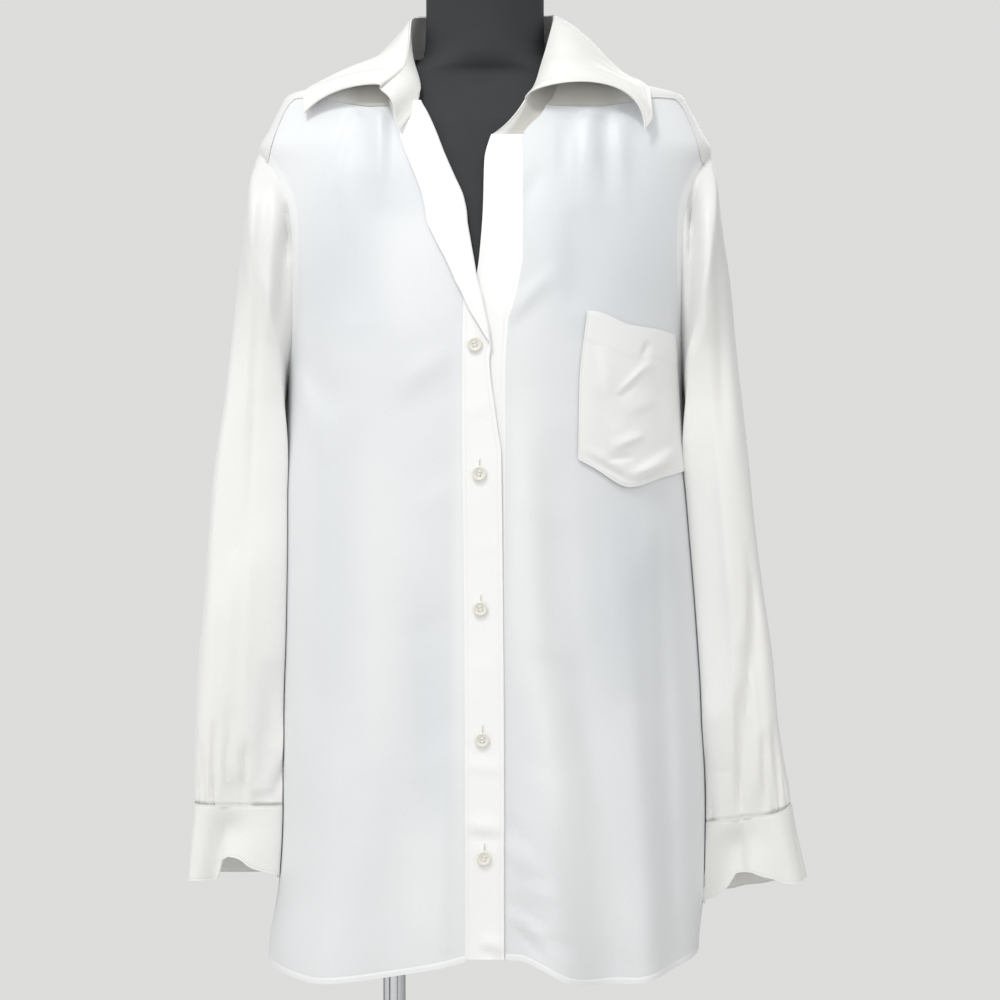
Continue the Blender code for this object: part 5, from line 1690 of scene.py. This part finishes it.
def form_piece(look):
    """The covered form: hips, waist, bust, shoulders with flat armhole sides, and a plain neck."""
    shoulder = FORM["height"][-1]
    rings = []
    for z in FORM_HEIGHTS:
        if z <= shoulder:
            half, front, back = (along(FORM, name, z) for name in ("half", "front", "back"))
        else:
            high = z + FORM_DROP
            half = min(along(BLOUSE, "right", high) - FORM_SIDE_EASE, FORM["half"][-1])
            throat = FORM_THROAT_EASE * ease((z - shoulder) / FORM_THROAT_RISE)
            front, back = (along(BLOUSE, name, high) - FORM_EASE - throat for name in ("front", "back"))
        neck = ease((z - FORM_NECK["height"][0] + NECK_BLEND_LOW) / NECK_BLEND_RISE)
        if neck > 0.0:
            radius = along(FORM_NECK, "radius", z)
            middle = along(FORM_NECK, "middle", z)
            half = half + (radius - half) * neck
            front = front + (radius - middle - front) * neck
            back = back + (radius + middle - back) * neck
        x, y = form_ring(half, front, back, float(neck))
        rings.append(np.stack([x, y, np.full_like(x, z)], axis=-1))
    rings = np.array(rings)
    bm = bmesh.new()
    bmesh.ops.create_grid(bm, x_segments=FORM_STEPS, y_segments=len(rings) - 1, size=0.5)
    for vert, place in zip(bm.verts, np.concatenate([rings, rings[:, :1]], axis=1).reshape(-1, 3)):
        vert.co = place
    merge_doubles(bm)
    rims = [edge for edge in bm.edges if edge.is_boundary]
    bmesh.ops.holes_fill(bm, edges=rims, sides=0)
    round_edges(bm, rims, 3.0 * MM, 4)
    hard_piece("form_cover", bm, look, "form_cover", node="form_body")


def raised(low, *pairs):
    """A turned profile: radii and heights over its foot, in millimetres."""
    return [(radius * MM, low + height * MM) for radius, height in pairs]


def stand_pieces(look):
    """A round base, a hub on it, the pole, and the plate under the form."""
    edge = BASE_EDGE
    base = [(0.0, 0.0), (BASE_RADIUS - 1.0 * MM, 0.0), (BASE_RADIUS, 1.0 * MM)]
    for turn in np.linspace(0.0, math.pi / 2.0, 7):
        out, up = edge * math.cos(turn), edge * math.sin(turn)
        base.append((BASE_RADIUS - edge + out, BASE_THICKNESS - edge + up))
    base.append((0.0, BASE_THICKNESS))
    hub = raised(
        BASE_THICKNESS + STAND_GAP,
        (0, 0), (30, 0), (29.7, 2), (28, 6), (26, 8), (15.5, 33.5), (14.5, 35), (0, 35),
    )
    plate = raised(
        FORM["height"][0] - STAND_GAP - PLATE_THICKNESS,
        (0, 0), (17, 0), (18.5, 1), (35.5, 9.5), (36, 10.5), (36, 14), (0, 14),
    )
    low = hub[-1][1] + STAND_GAP
    top = plate[0][1] - STAND_GAP
    pole = ((0.0, low), (POLE_RADIUS, low), (POLE_RADIUS, top), (0.0, top))
    for node, profile, steps, x in (
        ("stand_base", base, 144, 0.0),
        ("stand_hub", hub, 72, POLE_X),
        ("stand_pole", pole, 48, POLE_X),
        ("form_plate", plate, 72, POLE_X),
    ):
        bm = spun(profile, steps)
        bmesh.ops.translate(bm, verts=bm.verts, vec=(x, 0.0, 0.0))
        hard_piece(node + "_chromed", bm, look, "chrome", node=node)


def button_mesh():
    """A shell button: a rounded rim, a shallow dish and four holes."""
    radius = BUTTON_RADIUS
    thick = BUTTON_THICKNESS
    profile = [(0.0, 0.0), (radius - 1.6 * MM, 0.0)]
    for turn in np.linspace(-math.pi / 2.0, math.pi / 2.0, 11):
        out = BUTTON_RIM * math.cos(turn)
        profile.append((radius - BUTTON_RIM + out, thick / 2.0 + thick / 2.0 * math.sin(turn)))
    profile += [(radius - 1.9 * MM, thick - 0.3 * MM), (radius - 2.6 * MM, thick - 0.75 * MM)]
    profile.append((0.0, thick - 0.8 * MM))
    bm = spun(profile, 56)
    bmesh.ops.recalc_face_normals(bm, faces=bm.faces)
    disc = linked("button_disc", finished(bm, "button"))
    bm = bmesh.new()
    for x, y in ((-1, -1), (-1, 1), (1, -1), (1, 1)):
        bmesh.ops.create_cone(
            bm,
            cap_ends=True,
            segments=18,
            radius1=0.75 * MM,
            radius2=0.75 * MM,
            depth=2.0 * thick,
            matrix=Matrix.Translation((x * BUTTON_HOLE_OUT, y * BUTTON_HOLE_OUT, thick / 2.0)),
        )
    drill = linked("drill", finished(bm, "drill"))
    cut = disc.modifiers.new("holes", "BOOLEAN")
    cut.operation = "DIFFERENCE"
    cut.solver = "EXACT"
    cut.object = drill
    done = settled(disc)
    for made in (disc, drill):
        bpy.data.objects.remove(made)
    return done


def thread_mesh():
    """Two bars of thread between a button's holes."""
    bm = bmesh.new()
    lying = Matrix.Rotation(math.pi / 2.0, 4, "Y")
    for y in (-BUTTON_HOLE_OUT, BUTTON_HOLE_OUT):
        bmesh.ops.create_cone(
            bm,
            cap_ends=True,
            segments=14,
            radius1=0.55 * MM,
            radius2=0.55 * MM,
            depth=3.3 * MM,
            matrix=Matrix.Translation((0.0, y, BUTTON_THICKNESS - 0.65 * MM)) @ lying,
        )
    round_edges(bm, [edge for edge in bm.edges if edge.calc_face_angle(0.0) > 1.2], 0.4 * MM, 3)
    return finished(bm, "thread")


def buttonhole(name, place, thread, slit):
    """A worked buttonhole: a narrow bar of stitches with a dark strip down its middle, which is painted shade
    in its cut.
    """
    for label, size, look in (
        ("", (1.9 * MM, 0.9 * MM, BUTTONHOLE_LENGTH), thread),
        # The dark strip is painted shade in the buttonhole's cut.
        ("_painted_slit_shade", (0.45 * MM, 1.1 * MM, BUTTONHOLE_LENGTH - 3.0 * MM), slit),
    ):
        bm = bmesh.new()
        bmesh.ops.create_cube(bm, size=1.0)
        bmesh.ops.scale(bm, vec=size, verts=bm.verts)
        round_edges(bm, bm.edges, 0.2 * MM, 2)
        bmesh.ops.translate(bm, vec=place, verts=bm.verts)
        hard_piece(name + label, bm, look, "silk_doubled")


def button_pieces(pearl, thread, slit):
    """Five buttons down the placket with their buttonholes, and one on each cuff."""
    places = {}
    for number, (x, z) in enumerate(zip(*FRONT_BUTTONS.values()), start=1):
        across = x - along(RIGHT_EDGE, "across", z) + BUTTON_RADIUS * 0.5
        y = float(front_y(x, z)) - PLACKET_OVERLAP_LIFT * across / PLACKET_WIDTH - BUTTON_STAND_OFF
        twist = Matrix.Rotation(0.35 * math.sin(number * 2.3), 4, "Z")
        places[f"button_{number}"] = (x, y, z), math.radians(90.0), twist
    for word, side, sections in (("right", -1.0, RIGHT_CUFF), ("left", 1.0, LEFT_CUFF)):
        middle = {key: values[1:3].mean() for key, values in sections.items()}
        x = side * (middle["outer_x"] + middle["inner_x"]) / 2.0
        z = (middle["outer_z"] + middle["inner_z"]) / 2.0
        y = middle["back"] + BUTTON_STAND_OFF
        places["cuff_button_" + word] = (x, y, z), math.radians(-90.0), Matrix()
    disc = button_mesh()
    sewn = thread_mesh()
    for name, ((x, y, z), tilt, twist) in places.items():
        place = Matrix.Translation((x, y, z)) @ Matrix.Rotation(tilt, 4, "X") @ twist
        for label, mesh, look, slot, node in (
            ("_shell", disc, pearl, "pearl", name),
            ("_thread", sewn, thread, "silk_doubled", None),
        ):
            bm = bmesh.new()
            bm.from_mesh(mesh)
            bmesh.ops.transform(bm, matrix=place, verts=bm.verts)
            hard_piece(name + label, bm, look, slot, node=node)
        if name in HOLED_BUTTONS:
            buttonhole(name + "_hole", (x + 0.4 * MM, y + 0.75 * MM, z + BUTTONHOLE_RISE), thread, slit)


def cloth_pieces(looks):
    """Every sewn piece of the blouse."""
    right = front_face(-1.0)
    left = front_face(1.0)
    rear = back_face()
    for node, face, side in (("front_right", right, -1.0), ("front_left", left, 1.0), ("back", rear, 0.0)):
        cloth_piece(node, face, looks, shade=body_shade(face, side))
    yoke = yoke_face(left[-1, ::-1], right[-1, ::-1], rear[-1])
    # Painted shadow of the collar's leaves on the front of the yoke, and a faint share of the darker colour
    # all over.
    painted_shadow_inward = ease((COLLAR_PAINTED_SHADOW_SIDE - np.abs(yoke[..., 0])) / 0.02)
    painted_collar_shadow = painted_shadow_inward * ease((-yoke[..., 1] - COLLAR_PAINTED_SHADOW_FRONT) / 0.03)
    cloth_piece("yoke", yoke, looks, shade=0.2 + 0.8 * painted_collar_shadow)
    cloth_piece("placket_left", placket_left_face(), looks)
    cloth_piece("placket_right", placket_right_face(), looks)
    # Painted shade on the stand's outer face under the leaf's front end.
    first, last = STAND_PAINTED_SHADE_ENDS
    painted_stand_shade = ease((COLLAR_PLACES - first) / 0.3) * ease((last - COLLAR_PLACES) / 0.6)
    cloth_piece("collar_stand", stand_face(), looks, shade=np.tile(painted_stand_shade, (STAND_ROWS, 1)))
    cloth_piece("collar_leaf", leaf_face(), looks)
    for word, side, sections, creases, front_creases, seed in (
        ("right", -1.0, RIGHT_SLEEVE, RIGHT_SLEEVE_CREASES, RIGHT_SLEEVE_FRONT, 5),
        ("left", 1.0, LEFT_SLEEVE, LEFT_SLEEVE_CREASES, LEFT_SLEEVE_FRONT, 8),
    ):
        face = sleeve_face(side, sections, creases, front_creases, seed)
        # Painted shade, darker towards the sleeve's head.
        shade = ease((face[..., 2] - SLEEVE_PAINTED_SHADE_FOOT) / SLEEVE_PAINTED_SHADE_RISE)
        cloth_piece("sleeve_" + word, face, looks, tube="sleeve", shade=shade)
    for word, side, sections, hollows, rise in (
        ("right", -1.0, RIGHT_CUFF, RIGHT_CUFF_HOLLOWS, RIGHT_CUFF_RISE),
        ("left", 1.0, LEFT_CUFF, LEFT_CUFF_HOLLOWS, LEFT_CUFF_RISE),
    ):
        cloth_piece("cuff_" + word, cuff_face(side, sections, hollows, rise), looks, tube="cuff")
    cloth_piece("pocket", pocket_face(), looks)


def studio_air():
    """The studio round the part: brighter high on the left, with two dark doorways, and a plain backdrop."""
    world = bpy.data.worlds.new("studio")
    world.use_nodes = True
    tree = world.node_tree
    view = add_node(tree, "TexCoord").outputs["Generated"]
    bright_side = Vector(ROOM_BRIGHT_SIDE).normalized()
    facing = add_node(tree, "VectorMath", {0: view, 1: bright_side}, operation="DOT_PRODUCT")
    low, high = ROOM_LEVELS
    inputs = {"Value": facing.outputs["Value"], "From Min": -1.0, "To Min": low, "To Max": high}
    spread = add_node(tree, "MapRange", inputs).outputs[0]
    across, _, up = add_node(tree, "SeparateXYZ", {0: view}).outputs
    doors = 0.0
    for middle, half in ROOM_DOORS:
        doors = calculate(tree, "ADD", calculate(tree, "COMPARE", across, middle, half), doors)
    near_floor = calculate(tree, "LESS_THAN", calculate(tree, "ABSOLUTE", up), DOOR_HEIGHT)
    dark = calculate(tree, "MULTIPLY", calculate(tree, "MULTIPLY", doors, near_floor), -DOOR_DARKNESS)
    level = calculate(tree, "MULTIPLY", spread, calculate(tree, "ADD", dark, 1.0))
    room = add_node(tree, "Background", {0: (*ROOM_COLOUR, 1.0), 1: level})
    back = tree.nodes["Background"]
    back.inputs[0].default_value = (*BACKDROP, 1.0)
    seen = add_node(tree, "LightPath").outputs["Is Camera Ray"]
    mix = add_node(tree, "MixShader", {0: seen, 1: room.outputs[0], 2: back.outputs[0]})
    feed(tree, tree.nodes["World Output"].inputs[0], mix.outputs[0])
    return world


def studio():
    """A pale floor, soft lights and the camera."""
    floor_look, _, _ = material("floor", Base_Color=FLOOR_COLOUR, Roughness=0.8)
    bm = bmesh.new()
    bmesh.ops.create_circle(bm, cap_ends=True, segments=96, radius=FLOOR_RADIUS)
    floor = linked("floor", finished(bm, "floor"))
    floor.data.materials.append(floor_look)
    floor.location = (0.0, 0.0, -FLOOR_DROP)
    scene = bpy.context.scene
    scene.world = studio_air()
    for name, place, size, power in LIGHTS:
        lamp = bpy.data.lights.new(name, "AREA")
        lamp.shape = "DISK"
        lamp.size = size
        lamp.energy = power
        made = linked(name, lamp)
        made.location = place
        made.rotation_euler = (LIGHTS_AIM - Vector(place)).to_track_quat("-Z", "Y").to_euler()
    lens = bpy.data.cameras.new("camera")
    lens.lens = LENS
    lens.sensor_width = 36.0
    scene.camera = linked("camera", lens)
    scene.camera.location = CAMERA_PLACE
    scene.camera.rotation_euler = (math.radians(90.0), 0.0, 0.0)
    scene.view_settings.view_transform = "Standard"


silk_groups = (weave_group(), tone_group(), stitch_group())
cloth_pieces({key: silk(*values, *silk_groups) for key, values in SILKS.items()})
form_piece(plain_material("form cover", (0.028, 0.030, 0.033), 0.8, grain=(900.0, 0.25 * MM)))
stand_pieces(plain_material("chrome", (0.66, 0.67, 0.69), 0.14, metallic=1.0))
button_pieces(
    plain_material("pearl", (0.84, 0.82, 0.74), 0.20, coat=0.4),
    plain_material("thread", (0.88, 0.88, 0.85), 0.6),
    # Painted shade for the buttonholes' cuts.
    plain_material("slit", (0.35, 0.35, 0.34), 0.8),
)
studio()
